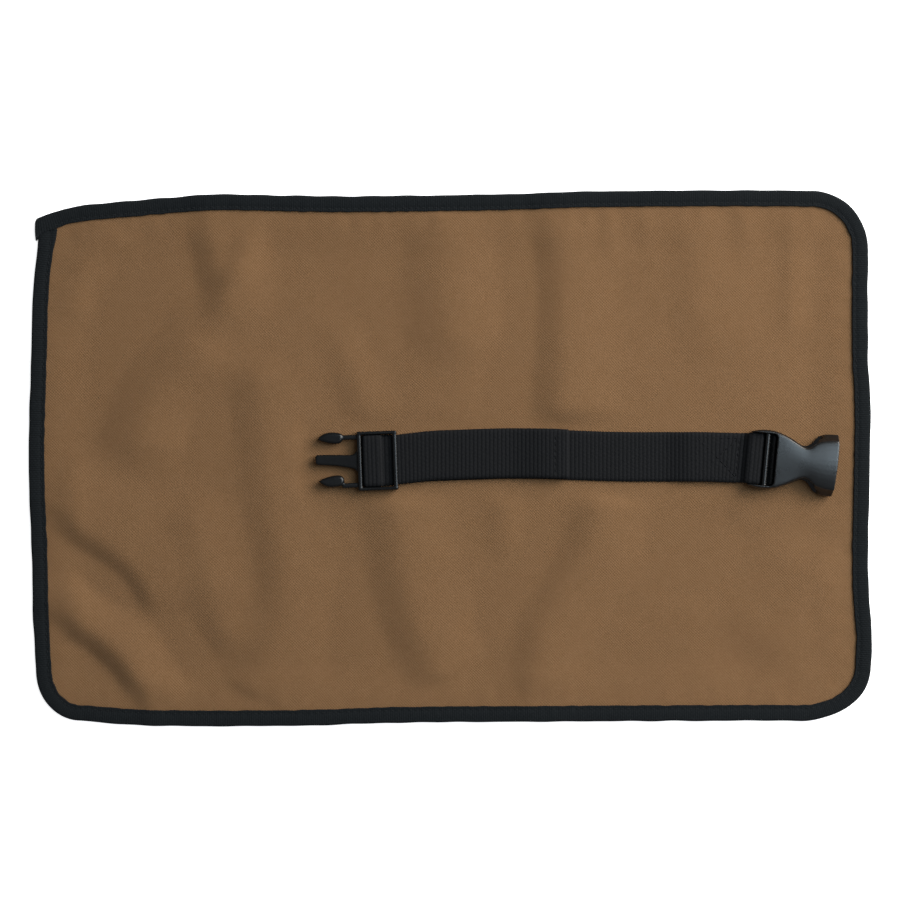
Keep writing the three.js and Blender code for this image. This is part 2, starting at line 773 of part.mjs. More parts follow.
function cavityShape() {
  const mouthHalf = socketMouthWidth / 2 - mouthSideWall;
  const backX = slotEnd() + socketWall;
  const shape = new THREE.Shape();
  shape.moveTo(backX, -0.6 * mouthHalf);
  shape.lineTo(0.52 * socketLength, -0.78 * mouthHalf);
  shape.lineTo(0.7 * socketLength, -mouthHalf);
  shape.lineTo(1.1 * socketLength, -mouthHalf);
  shape.lineTo(1.1 * socketLength, mouthHalf);
  shape.lineTo(0.7 * socketLength, mouthHalf);
  shape.lineTo(0.52 * socketLength, 0.78 * mouthHalf);
  shape.lineTo(backX, 0.6 * mouthHalf);
  return shape;
}

function slotEnd() {
  return endBarWidth + layerGap + slotLength;
}

function socketGeometry() {
  const body = raised(socketShape(), 0, socketHeight, socketEdgeRound);
  const slotShape = roundedRectangle(-socketLength, slotEnd(), -slotHalf, slotHalf, 1.2);
  const slot = raised(slotShape, -1, socketHeight + 1);
  const cavity = raised(cavityShape(), socketWall, socketHeight - socketWall);
  const endBarFrom = layerGap;
  const endBar = crossBar(
    endBarFrom,
    endBarFrom + endBarWidth,
    barBottom - buckleBase,
    barTop - buckleBase,
    slotHalf + 0.4,
    0.2,
  );
  const crossBarFrom = endBarFrom + endBarWidth + layerStep + layerGap;
  const crossBarMiddle = crossBar(
    crossBarFrom,
    crossBarFrom + crossBarWidth,
    0.45 * socketHeight,
    0.45 * socketHeight + barThickness,
    slotHalf + 0.4,
    0.6,
  );
  const ribHalf = guideRootWidth / 2 + 1;
  const ribs = [-1, 1].map((side) => {
    const rib = sideStrip(slotEnd() + 1, 0.68 * socketLength, side, ribHalf, ribHalf + 1, 0.3);
    return raised(rib, socketWall - 0.4, socketHeight - socketWall + 0.4);
  });
  const hollow = body.subtract(slot).subtract(cavity);
  return geometryOf([endBar, crossBarMiddle, ...ribs].reduce((whole, piece) => whole.add(piece), hollow));
}

// The pieces in their places

function piece(name, geometry, material) {
  const mesh = new THREE.Mesh(geometry, material);
  mesh.name = name;
  geometry.computeVertexNormals();
  return mesh;
}

const cloth = new THREE.MeshStandardMaterial({ color: "#8a6542", roughness: 0.9, metalness: 0 });
const tape = new THREE.MeshStandardMaterial({ color: "#191d1f", roughness: 0.85, metalness: 0 });
const webbing = new THREE.MeshStandardMaterial({ color: "#1d2026", roughness: 0.75, metalness: 0 });
const plastic = new THREE.MeshStandardMaterial({ color: "#17191c", roughness: 0.35, metalness: 0 });

const toolRoll = new THREE.Group();
toolRoll.add(piece("panel", panelGeometry(), cloth));
toolRoll.add(piece("edge_binding", bindingGeometry(), tape));
toolRoll.add(piece("strap", strapGeometry(), webbing));

const plug = piece("buckle_plug", plugGeometry(), plastic);
plug.position.set(plugCentre, plugSide, buckleBase);
plug.rotation.z = radians(plugYaw);
toolRoll.add(plug);

// The socket's mouth is lifted a little, because it lies on the cloth that rises to the binding
const socket = piece("buckle_socket", socketGeometry(), plastic.clone());
socket.position.set(socketRear, socketSide, buckleBase);
socket.rotation.set(0, -Math.asin(edgeLift / socketLength), radians(socketYaw), "ZYX");
toolRoll.add(socket);

export default toolRoll;
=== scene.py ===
"""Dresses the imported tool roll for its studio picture: cloth, tape, webbing, buckle, floor and light.

It is laid out as an add-on and run as a script. Lengths are metres and colours are sRGB hex values.
Tables of places are in millimetres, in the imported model's frame.
"""

import math
from contextlib import contextmanager
from functools import partial

import bpy
import numpy as np
from bpy.props import FloatProperty, FloatVectorProperty, IntProperty, PointerProperty
from mathutils import Matrix, Vector


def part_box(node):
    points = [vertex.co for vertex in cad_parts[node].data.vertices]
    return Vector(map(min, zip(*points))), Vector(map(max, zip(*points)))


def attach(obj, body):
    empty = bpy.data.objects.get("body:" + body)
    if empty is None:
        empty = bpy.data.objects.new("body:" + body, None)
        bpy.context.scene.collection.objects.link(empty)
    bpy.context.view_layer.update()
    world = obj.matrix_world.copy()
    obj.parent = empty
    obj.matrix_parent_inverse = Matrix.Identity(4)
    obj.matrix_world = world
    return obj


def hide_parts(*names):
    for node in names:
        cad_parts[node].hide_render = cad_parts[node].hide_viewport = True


bl_info = {
    "name": "Tool roll studio",
    "version": (1, 0, 0),
    "blender": (4, 5, 0),
    "location": "3D View > Sidebar > Tool roll",
    "description": "Models the cloth, tape, webbing and buckle of a tool roll on its packed frame",
    "category": "Object",
}

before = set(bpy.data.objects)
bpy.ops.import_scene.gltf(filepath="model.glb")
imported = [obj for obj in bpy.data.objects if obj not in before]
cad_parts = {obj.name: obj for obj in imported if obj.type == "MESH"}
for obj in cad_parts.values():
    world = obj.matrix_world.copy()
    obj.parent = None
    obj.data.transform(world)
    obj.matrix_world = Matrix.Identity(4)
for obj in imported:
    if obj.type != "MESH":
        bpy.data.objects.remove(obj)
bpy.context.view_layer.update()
MM = 0.001
TAPE_LOW, TAPE_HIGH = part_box("edge_binding")
ROLL_LENGTH = TAPE_HIGH[0] - TAPE_LOW[0]
ROLL_WIDTH = TAPE_HIGH[1] - TAPE_LOW[1]

# The roll's outer edge, side by side from the upper left corner round by the lower left one.
# Each place is a share of that side's half length, and a share of the half size outwards.
LEFT_EDGE = [
    (0.897, 0.971), (0.8, 0.972), (0.637, 0.983), (0.337, 0.989),
    (0.0, 0.994), (-0.352, 0.987), (-0.652, 0.982), (-0.787, 0.977),
]
LOWER_EDGE = [
    (-0.872, 0.981), (-0.694, 1.0), (-0.363, 1.0), (-0.126, 0.989),
    (0.159, 0.985), (0.68, 0.981), (0.834, 0.981),
]
RIGHT_EDGE = [
    (-0.779, 0.998), (-0.652, 1.0), (-0.412, 0.991), (0.15, 0.997), (0.397, 0.991), (0.779, 0.991),
]
UPPER_EDGE = [
    (0.858, 0.998), (0.68, 1.0), (0.346, 0.996), (0.109, 0.985), (-0.265, 0.978),
    (-0.55, 0.984), (-0.74, 0.962), (-0.836, 0.949), (-0.898, 0.935), (-0.931, 0.919), (-0.971, 0.897),
]

# The creases of the cloth, in millimetres. Each is a line over which the cloth steps up on the side
# of the light and then falls away: path, rise of the step, width of the step, width of the fall,
# and how far the crease takes to grow at its start and to die away at its end.
CREASES = [
    ([(-128, 128), (-122, 97), (-117, 83), (-129, 63)], 1.3, 16, 30, 0, 24),
    ([(-117, 76), (-131, 61), (-148, 46), (-161, 28), (-166, 6), (-164, -14)], 1.4, 29, 36, 26, 26),
    ([(-106, 128), (-105, 108), (-114, 84)], 0.65, 11, 16, 0, 14),
    ([(-140, -22), (-131, -42), (-121, -84), (-108, -106)], 0.8, 19, 26, 14, 16),
    ([(-202, -24), (-185, -40), (-168, -51), (-156, -64), (-146, -86)], 1.4, 12.5, 42, 0, 22),
    ([(-201, -74), (-188, -86), (-176, -94), (-164, -106), (-153, -124)], 1.9, 13, 27, 0, 0),
    ([(-108, 58), (-104, 40), (-101, 12), (-95, -30), (-90, -58), (-95, -86), (-109, -116)],
     0.85, 20, 44, 24, 6),
    ([(-66, 70), (-58, 50), (-52, 32), (-44, 8)], 0.55, 17, 22, 20, 8),
    ([(-44, -6), (-36, -26), (-28, -75), (-20, -95), (-10, -118)], 1.05, 22, 34, 6, 10),
    ([(-12, 124), (-13, 84), (-8, 40)], 0.95, 25, 46, 4, 22),
    ([(44, 132), (49, 97), (49, 54), (48, 14)], 1.1, 19, 34, 0, 6),
    ([(15, -16), (23, -35), (20, -56)], 0.5, 16, 20, 6, 14),
    ([(71, -14), (63, -41), (50, -64), (40, -86), (34, -126)], 0.95, 17, 34, 6, 0),
    ([(78, 128), (78, 90)], 0.25, 8, 14, 2, 16),
    ([(95, 130), (95, 104)], 0.2, 8, 12, 2, 12),
    ([(113, 130), (118, 70), (124, 42)], 0.45, 20, 30, 4, 20),
    ([(144, 130), (144, 100)], 0.22, 8, 12, 2, 12),
    ([(168, 130), (167, 54)], 0.3, 8, 16, 2, 20),
    ([(172, -30), (158, -66), (134, -96)], 1.2, 46, 46, 26, 26),
    ([(-174, 122), (-188, 98), (-200, 66)], 0.6, 18, 22, 6, 14),
]

# Half of the socket's outline from its rear to its mouth: shares of its length and half mouth, then
# how far the edge of its top face lies inside the outline, as a share of the half mouth.
SOCKET_OUTLINE = [
    (-0.012, 0.845, 0.05), (0.041, 0.897, 0.05), (0.1, 0.929, 0.05), (0.182, 0.942, 0.05),
    (0.3, 0.9, 0.05), (0.404, 0.795, 0.055), (0.495, 0.68, 0.07), (0.575, 0.585, 0.09),
    (0.63, 0.56, 0.105), (0.68, 0.625, 0.13), (0.725, 0.77, 0.17), (0.775, 0.91, 0.225),
    (0.86, 0.972, 0.23), (0.95, 0.99, 0.22), (1.0, 0.99, 0.215),
]

# Where the buckle halves lie, in millimetres and degrees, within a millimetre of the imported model
PLUG_CENTRE = -36.0
PLUG_SIDE = -1.35
PLUG_YAW = 2.0
SOCKET_REAR = 149.8
SOCKET_SIDE = 0.1
SOCKET_YAW = -5.4
SOCKET_LENGTH = 43.4
# Level of both halves' undersides
BUCKLE_BASE = 1.7
# Half the width of the openings that the webbing passes through, in both halves
PASSAGE_HALF = 13.05
# How far the upper prong, the guide and the lower prong lean outwards, or back for the lower one
PRONG_LEAN = {1: 1.5, 0: 1.4, -1: -0.9}

# Levels of the webbing's middle: the strand on the cloth, the tail on it and the hem on top, and how
# far each strand sways sideways between the buckle halves
STRAND_LEVEL, TAIL_LEVEL, HEM_LEVEL = 2.4, 4.1, 5.8
STRAND_SWAY, TAIL_SWAY = 1.1, 1.6
# From the plug's middle to the tail's end and to the hem's stitches
TAIL_LENGTH, HEM_SEAM = 96, 89

# How high the tape holds the cloth's edge and the socket's mouth, how far the cloth's edge lies inside
# the tape's own, the space inside the folded tape, and how far the stitches lie from its outer edge
EDGE_LIFT = 1.3
RIM_INSET = 1.3
TAPE_GAP = 2.0
SEAM_DEPTH = 6.4
# How much of the folds' height is left at the edge
EDGE_SHARE = 0.4


def linear(code):
    """The linear colour and full opacity of an sRGB hex value."""
    channels = [int(code[i:i + 2], 16) / 255 for i in (1, 3, 5)]
    return tuple(c / 12.92 if c <= 0.04045 else ((c + 0.055) / 1.055) ** 2.4 for c in channels) + (1.0,)


def opaque(colour, share=1.0):
    """A colour of three channels, made darker or lighter by a share, with full opacity."""
    return tuple(share * channel for channel in colour) + (1.0,)


def metres(name, description, default):
    """A length that a user can change."""
    return FloatProperty(name=name, description=description, default=default, unit="LENGTH")


def tone(name, description, code):
    """A colour that a user can change, from an sRGB hex value."""
    default = linear(code)[:3]
    return FloatVectorProperty(name=name, description=description, default=default, subtype="COLOR")


class ClothSettings(bpy.types.PropertyGroup):
    length: metres("Length", "Length of the open roll", ROLL_LENGTH)
    width: metres("Width", "Width of the open roll", ROLL_WIDTH)
    thickness: metres("Thickness", "Thickness of the cloth", 0.0014)
    cells_along: IntProperty(name="Cells along", description="Mesh cells along the roll", default=244)
    cells_across: IntProperty(name="Cells across", description="Mesh cells across the roll", default=154)
    crease_scale: FloatProperty(
        name="Crease scale", description="Height of the creases against their table", default=1.9
    )
    yarn_pitch: metres("Yarn pitch", "Distance between yarns", 0.0007)
    # The crowns' colour and the darker colour between the yarns are one cloth, lit and in painted shade
    lit_yarn_crown: tone("Light yarn", "Colour of a yarn's crown", "#806145")
    shaded_yarn_gap: tone("Dark yarn", "Colour between the yarns", "#664c31")


class BindingSettings(bpy.types.PropertyGroup):
    depth: metres("Depth", "How far the tape reaches over the cloth", 0.008)
    thickness: metres("Thickness", "Thickness of the tape", 0.001)
    tab_depth: metres("Tab depth", "Width of the tape at its end", 0.0106)
    tab_reach: metres("Tab reach", "How far the tape's end stands out", 0.0023)
    stitch_pitch: metres("Stitch pitch", "Distance between stitches", 0.0031)
    rib_pitch: metres("Rib pitch", "Distance between the tape's ribs", 0.0011)
    colour: tone("Colour", "Colour of the tape", "#16191b")


class StrapSettings(bpy.types.PropertyGroup):
    width: metres("Width", "Width of the webbing", 0.0247)
    thickness: metres("Thickness", "Thickness of the webbing", 0.0014)
    rib_pitch: metres("Rib pitch", "Distance between the ribs", 0.002)
    stitch_length: metres("Stitch length", "Length of a stitch", 0.0026)
    colour: tone("Colour", "Colour of the webbing", "#0f1012")


class BuckleSettings(bpy.types.PropertyGroup):
    socket_height: metres("Socket height", "Height of the socket", 0.009)
    mouth_width: metres("Mouth width", "Width of the socket's mouth", 0.0312)
    frame_height: metres("Frame height", "Height of the plug's frame", 0.0056)
    grain: metres("Mesh grain", "Size of the mesh on the moulded pieces", 0.00027)
    colour: tone("Colour", "Colour of the plastic", "#090a0b")
    plug_roughness: FloatProperty(
        name="Plug roughness", description="Roughness of the plug's polished plastic", default=0.25
    )
    socket_roughness: FloatProperty(
        name="Socket roughness", description="Roughness of the socket's satin plastic", default=0.28
    )


class StudioSettings(bpy.types.PropertyGroup):
    camera_height: metres("Camera height", "Height of the camera", 1.2)
    view_width: metres("View width", "Width that the picture spans", 0.45)
    key_power: FloatProperty(
        name="Key light", description="Power of the key light", default=60.5, unit="POWER"
    )
    top_power: FloatProperty(
        name="Top light", description="Power of the top light", default=19.0, unit="POWER"
    )
    sky: FloatProperty(name="Surroundings", description="Brightness of the surroundings", default=0.2)


# Numbers and lines


def ease(t):
    t = np.clip(t, 0.0, 1.0)
    return t * t * (3 - 2 * t)


def bell(t):
    return np.where(np.abs(t) < 1, np.cos(np.clip(t, -1, 1) * math.pi / 2) ** 2, 0.0)


def ripple(along, total, seed, waves, shortest):
    """A gentle unevenness along a closed line, between about -1 and 1, the same on each run."""
    rng = np.random.default_rng(seed)
    most = int(total / shortest)
    counts = rng.integers(max(2, most // 8), most, waves)
    phases = rng.uniform(0, 2 * math.pi, waves)
    shares = rng.uniform(0.4, 1.0, waves)
    terms = zip(counts, phases, shares)
    value = sum(share * np.sin(2 * math.pi * c * along / total + phase) for c, phase, share in terms)
    return value / math.sqrt(waves)


def swell(x, y, seed, waves, longest, shortest):
    """A gentle unevenness over the plane, between about -1 and 1, the same on each run."""
    rng = np.random.default_rng(seed)
    total = np.zeros_like(x)
    for _ in range(waves):
        angle = rng.uniform(0, math.pi)
        length = rng.uniform(shortest, longest)
        phase = rng.uniform(0, 2 * math.pi)
        total += np.sin(2 * math.pi * (x * math.cos(angle) + y * math.sin(angle)) / length + phase)
    return total / math.sqrt(waves)


def smooth_line(points, pieces):
    points = np.asarray(points, float)
    count = len(points)
    steps = np.linspace(0, count - 1, pieces * (count - 1) + 1)
    first = np.minimum(steps.astype(int), count - 2)
    t = (steps - first)[:, None]
    here = points[first]
    there = points[first + 1]
    start = (there - points[np.maximum(first - 1, 0)]) / 2
    end = (points[np.minimum(first + 2, count - 1)] - here) / 2
    cubic = 2 * here - 2 * there + start + end
    square = 3 * there - 3 * here - 2 * start - end
    return ((cubic * t + square) * t + start) * t + here


def lengths_along(points):
    steps = np.linalg.norm(np.diff(points, axis=0), axis=1)
    return np.concatenate([[0], np.cumsum(steps)])


def evenly_spaced(points, count):
    lengths = lengths_along(points)
    wanted = np.linspace(0, lengths[-1], count + 1)
    return np.stack([np.interp(wanted, lengths, axis) for axis in points.T], axis=1)


def unit(ways):
    return ways / np.linalg.norm(ways, axis=1)[:, None]


def leftward(ways):
    """Ways in the plane, each turned anticlockwise by a quarter."""
    return np.stack([-ways[..., 1], ways[..., 0]], axis=-1)


# The outline and the lie of the cloth, in millimetres


def corner_arc(start, end, centre):
    angle = np.linspace(0, math.pi / 2, 25)[:, None]
    return centre + (start - centre) * np.cos(angle) + (end - centre) * np.sin(angle)


def outline_sides(settings):
    half_length = settings.length / 2 / MM
    half_width = settings.width / 2 / MM
    left = smooth_line([(-out * half_length, along * half_width) for along, out in LEFT_EDGE], 24)
    lower = smooth_line([(along * half_length, -out * half_width) for along, out in LOWER_EDGE], 24)
    right = smooth_line([(out * half_length, along * half_width) for along, out in RIGHT_EDGE], 24)
    upper = smooth_line([(along * half_length, out * half_width) for along, out in UPPER_EDGE], 24)
    lower_left = corner_arc(left[-1], lower[0], np.array([lower[0][0], left[-1][1]]))
    lower_right = corner_arc(lower[-1], right[0], np.array([lower[-1][0], right[0][1]]))
    upper_right = corner_arc(right[-1], upper[0], np.array([upper[0][0], right[-1][1]]))
    return [
        np.vstack([left, lower_left[1:13]]),
        np.vstack([lower_left[12:], lower[1:], lower_right[1:13]]),
        np.vstack([lower_right[12:], right[1:], upper_right[1:13]]),
        np.vstack([upper_right[12:], upper[1:]]),
    ]


def edge_stations(settings, along, across):
    """Places round the outer edge from the upper left corner, and the way straight inwards at each."""
    sides = outline_sides(settings)
    counts = [across, along, across, along]
    places = np.vstack([evenly_spaced(side, count)[:-1] for side, count in zip(sides, counts)])
    ahead = np.roll(places, -1, axis=0) - np.roll(places, 1, axis=0)
    inward = unit(leftward(ahead))
    # The first place is a sharp corner, and inwards there is along its mitre
    arriving, leaving = unit(leftward(np.diff(places[[-1, 0, 1]], axis=0)))
    inward[0] = (arriving + leaving) / (1 + arriving @ leaving)
    return places, inward


def nearest_on(points, line):
    """Distance from each point to a line of close places, and the number of the nearest place."""
    distance = np.empty(len(points))
    nearest = np.empty(len(points), int)
    at_once = 4000
    for first in range(0, len(points), at_once):
        part = slice(first, first + at_once)
        gaps = np.linalg.norm(points[part][:, None] - line[None], axis=2)
        nearest[part] = gaps.argmin(axis=1)
        distance[part] = gaps.min(axis=1)
    return distance, nearest


def crease_lift(points, path, rise, step, fall, grow, fade):
    """How far one crease lifts the cloth: a dip, a step up on the side of the light and a slow fall."""
    towards_light = np.array([0.91, 0.42])
    line = evenly_spaced(smooth_line(path, 12), 90)
    nearest = nearest_on(points, line)[1]
    ahead = unit(np.gradient(line, axis=0))
    aside = leftward(ahead)
    aside[aside @ towards_light < 0] *= -1
    offset = points - line[nearest]
    side = np.einsum("ij,ij->i", offset, aside[nearest])
    onward = np.einsum("ij,ij->i", offset, ahead[nearest])
    lengths = lengths_along(line)
    travelled = np.clip(lengths[nearest] + onward, 0, lengths[-1])
    share = np.ones(len(points))
    if grow > 0:
        share *= ease(travelled / grow)
    if fade > 0:
        share *= ease((lengths[-1] - travelled) / fade)
    at_end = (nearest == 0) | (nearest == len(line) - 1)
    share *= np.where(at_end, bell(onward / 14), 1.0)
    up = ease(side / step + 0.5)
    down = 1 - ease((side - 0.3 * step) / fall)
    dip = 0.34 * bell((side + 1.1 * step) / (1.3 * step))
    return rise * share * (up * down - dip)


def looseness(x, y):
    """How free the cloth is to rise: not at all under strap and buckle, fully a little way off."""
    pressed = 15.0 + 5.5 * ease((x - SOCKET_REAR) / SOCKET_LENGTH)
    across = np.maximum(0, np.abs(y) - pressed)
    before = np.maximum(0, PLUG_CENTRE - 32 - x)
    after = np.maximum(0, x - SOCKET_REAR - SOCKET_LENGTH)
    return ease(np.hypot(np.hypot(across, before), after) / 11)


def fold_lift(points, scale):
    x, y = points[:, 0], points[:, 1]
    total = 0.35 + 0.3 * swell(x, y, 4, 14, 120, 45) + 0.05 * swell(x, y, 9, 16, 26, 11)
    for path, rise, step, fall, grow, fade in CREASES:
        total = total + scale * crease_lift(points, path, rise, step, fall, grow, fade)
    return np.maximum(total, 0.02 * total) * looseness(x, y)


def cloth_underside(points, settings):
    """Height of the cloth's underside: lifted where the tape holds it, then down on the surface."""
    places = edge_stations(settings, 420, 266)[0]
    distance, nearest = nearest_on(points, places)
    along = lengths_along(places)
    pucker = 0.2 * ripple(along, along[-1], 12, 60, 9.0)[nearest] * ease((distance - 8) / 3)
    pucker *= 1 - ease((distance - 11) / 12)
    inside = np.maximum(0, distance - 9.5)
    sag = EDGE_LIFT * (1 - ease(inside / 22))
    share = EDGE_SHARE + (1 - EDGE_SHARE) * ease(inside / 16)
    lift = sag + share * fold_lift(points, settings.crease_scale)
    return lift + np.maximum(pucker, -lift) * looseness(points[:, 0], points[:, 1])


# Meshes


def deselect():
    if bpy.context.object and bpy.context.object.mode != "OBJECT":
        bpy.ops.object.mode_set(mode="OBJECT")
    bpy.ops.object.select_all(action="DESELECT")


def choose(piece):
    deselect()
    piece.select_set(True)
    bpy.context.view_layer.objects.active = piece


def grid_sheet(name, places, pattern):
    """A grid whose crossings are laid at the places, in millimetres, with pattern as its UV map."""
    rows, columns = places.shape[0] - 1, places.shape[1] - 1
    deselect()
    bpy.ops.mesh.primitive_grid_add(x_subdivisions=columns, y_subdivisions=rows, size=2)
    sheet = bpy.context.object
    sheet.name = name
    sheet.data.name = name
    mesh = sheet.data
    if len(mesh.vertices) != (rows + 1) * (columns + 1):
        raise RuntimeError("the grid for " + name + " has another number of crossings")
    flat = np.empty(len(mesh.vertices) * 3)
    mesh.vertices.foreach_get("co", flat)
    flat = flat.reshape(-1, 3)
    i = np.rint((flat[:, 0] + 1) / 2 * columns).astype(int)
    j = np.rint((flat[:, 1] + 1) / 2 * rows).astype(int)
    mesh.vertices.foreach_set("co", (places[j, i] * MM).ravel())
    corners = np.empty(len(mesh.loops), int)
    mesh.loops.foreach_get("vertex_index", corners)
    mesh.uv_layers[0].uv.foreach_set("vector", (pattern[j, i][corners] * MM).ravel())
    mesh.uv_layers[0].name = "weave"
    mesh.update()
    return sheet


@contextmanager
def edit_mode(piece):
    """Edit mode on one piece, with all of its mesh selected."""
    choose(piece)
    bpy.ops.object.mode_set(mode="EDIT")
    bpy.ops.mesh.select_all(action="SELECT")
    yield
    bpy.ops.object.mode_set(mode="OBJECT")


def tube(name, rings, patterns=None, seam=0.0):
    """A closed tube with capped ends through rings of places. Its UV map's last step round is seam."""
    rings = np.array(rings)
    if patterns is None:
        patterns = np.zeros(rings.shape[:2] + (2,))
    rings = np.concatenate([rings, rings[:, :1]], axis=1)
    patterns = np.concatenate([patterns, np.array(patterns)[:, -1:] + [0, seam]], axis=1)
    piece = grid_sheet(name, rings, patterns)
    with edit_mode(piece):
        bpy.ops.mesh.remove_doubles(threshold=1e-6)
        bpy.ops.mesh.fill_holes(sides=0)
        bpy.ops.mesh.select_all(action="SELECT")
        bpy.ops.mesh.normals_make_consistent(inside=False)
    return piece


def smooth_by_angle(piece, degrees):
    choose(piece)
    bpy.ops.object.shade_smooth_by_angle(angle=math.radians(degrees))


def apply_modifier(piece, kind, **settings):
    choose(piece)
    modifier = piece.modifiers.new("shaping", kind)
    for key, value in settings.items():
        setattr(modifier, key, value)
    bpy.ops.object.modifier_apply(modifier=modifier.name)


def finish_piece(piece, material, slot_name, *nodes):
    piece.data.materials.clear()
    piece.data.materials.append(material)
    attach(piece, "root")
    if nodes:
        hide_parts(*nodes)


def stamped(name, template, places, aheads):
    """One mesh of many copies of a small piece, each turned its own way. Removes the template."""
    mesh = template.data
    shape = np.array([vertex.co[:] for vertex in mesh.vertices])
    faces = [tuple(face.vertices) for face in mesh.polygons]
    vertices = []
    polygons = []
    for place, ahead in zip(places, aheads):
        ahead = Vector(ahead).normalized()
        side = Vector((0, 0, 1)).cross(ahead).normalized()
        turn = np.array([ahead, side, ahead.cross(side)])
        first = len(vertices) * len(shape)
        vertices.append(shape @ turn + np.asarray(place) * MM)
        polygons.extend(tuple(first + corner for corner in face) for face in faces)
    made = bpy.data.meshes.new(name)
    made.from_pydata(np.vstack(vertices).tolist(), [], polygons)
    piece = bpy.data.objects.new(name, made)
    bpy.context.collection.objects.link(piece)
    bpy.data.objects.remove(template)
    piece.data.shade_smooth()
    return piece


def stitch_template(length, width):
    """One stitch: a slim ball of thread whose ends bend down into the cloth."""
    deselect()
    bpy.ops.mesh.primitive_uv_sphere_add(segments=6, ring_count=6, radius=0.5)
    stitch = bpy.context.object
    for vertex in stitch.data.vertices:
        x, y, z = vertex.co.z, vertex.co.y, vertex.co.x
        drop = 0.55 * width * (2 * x) ** 2
        vertex.co = (x * length, y * width, z * 0.9 * width - drop)
    with edit_mode(stitch):
        bpy.ops.mesh.normals_make_consistent(inside=False)
    return stitch


# Materials


def add_node(tree, kind, inputs=None, **settings):
    """Adds a node with its settings, and with inputs that are values, sockets or other nodes."""
    made = tree.nodes.new(kind)
    for key, value in settings.items():
        setattr(made, key, value)
    for key, value in (inputs or {}).items():
        if isinstance(value, bpy.types.Node):
            value = value.outputs[0]
        if isinstance(value, bpy.types.NodeSocket):
            tree.links.new(value, made.inputs[key])
        else:
            made.inputs[key].default_value = value
    return made


def new_material(name, inputs, make_nodes):
    """A material of one shader: make_nodes gives its linked inputs, and inputs its constant ones."""
    material = bpy.data.materials.new(name)
    material.use_nodes = True
    material.node_tree.nodes.clear()
    add = partial(add_node, material.node_tree)
    shader = add("ShaderNodeBsdfPrincipled", {**make_nodes(add), **inputs})
    add("ShaderNodeOutputMaterial", {"Surface": shader})
    return material


def oxford_cloth(settings):
    """Polyester oxford cloth, woven of coarse yarns: fine slanting rows of crowns, with painted shade
    between them, and soft mottling.
    """
    turn = math.pi / settings.yarn_pitch
    wander = (0.0016, 0.0016, 0.0016)

    def make_nodes(add):
        places = add("ShaderNodeTexCoord").outputs["Object"]
        # Yarns that wander a little
        drift = add("ShaderNodeTexNoise", {"Vector": places, "Scale": 60.0, "Detail": 2.0})
        drifted = {0: drift.outputs["Color"], 1: wander, 2: places}
        drifted = add("ShaderNodeVectorMath", drifted, operation="MULTIPLY_ADD")
        # Rows of crowns along both diagonals, those that fall to the right the stronger
        falling, rising = (
            add("ShaderNodeVectorMath", {0: drifted, 1: (turn, rise, 0)}, operation="DOT_PRODUCT")
            for rise in (turn, -turn)
        )
        falling = add("ShaderNodeMath", {0: falling.outputs["Value"]}, operation="COSINE")
        rising = add("ShaderNodeMath", {0: rising.outputs["Value"]}, operation="COSINE")
        rising = add("ShaderNodeMath", {0: rising, 1: 0.4}, operation="MULTIPLY")
        rows = add("ShaderNodeMath", {0: falling, 1: 0.6, 2: rising}, operation="MULTIPLY_ADD")
        # Patches in which the rows stand out more or less
        patch = add("ShaderNodeTexNoise", {"Vector": places, "Scale": 70.0, "Detail": 2.0})
        patch = add("ShaderNodeMapRange", {"Value": patch, 1: 0.35, 2: 0.65, 3: 0.08, 4: 0.55})
        fuzz = add("ShaderNodeTexNoise", {"Vector": places, "Scale": 1500.0, "Detail": 2.0})
        crown = add("ShaderNodeMath", {0: rows, 1: patch, 2: fuzz}, operation="MULTIPLY_ADD")
        # Painted shade: the hollows between the yarns' crowns are darker, following the same rows as the
        # bump
        yarns = {0: crown, 6: opaque(settings.shaded_yarn_gap), 7: opaque(settings.lit_yarn_crown)}
        yarns = add("ShaderNodeMix", yarns, data_type="RGBA")
        # Soft mottling, a few millimetres wide, of worn and of fresh yarn
        mottle = {"Vector": places, "Scale": 230.0, "Detail": 4.0, "Roughness": 0.7}
        tint = {0: add("ShaderNodeTexNoise", mottle), 6: linear("#ece6da"), 7: linear("#ffffff")}
        tint = add("ShaderNodeMix", tint, data_type="RGBA")
        colour = {0: 1.0, 6: yarns.outputs[2], 7: tint.outputs[2]}
        colour = add("ShaderNodeMix", colour, data_type="RGBA", blend_type="MULTIPLY")
        height = add("ShaderNodeMath", {0: rows, 1: 0.5, 2: fuzz}, operation="MULTIPLY_ADD")
        bump = add("ShaderNodeBump", {"Height": height, "Strength": 0.4, "Distance": 0.00025})
        return {"Base Color": colour.outputs[2], "Normal": bump}

    constant = {"Roughness": 0.92, "Specular IOR Level": 0.18, "Sheen Weight": 0.06, "Sheen Roughness": 0.5}
    return new_material("Polyester oxford cloth", constant, make_nodes)


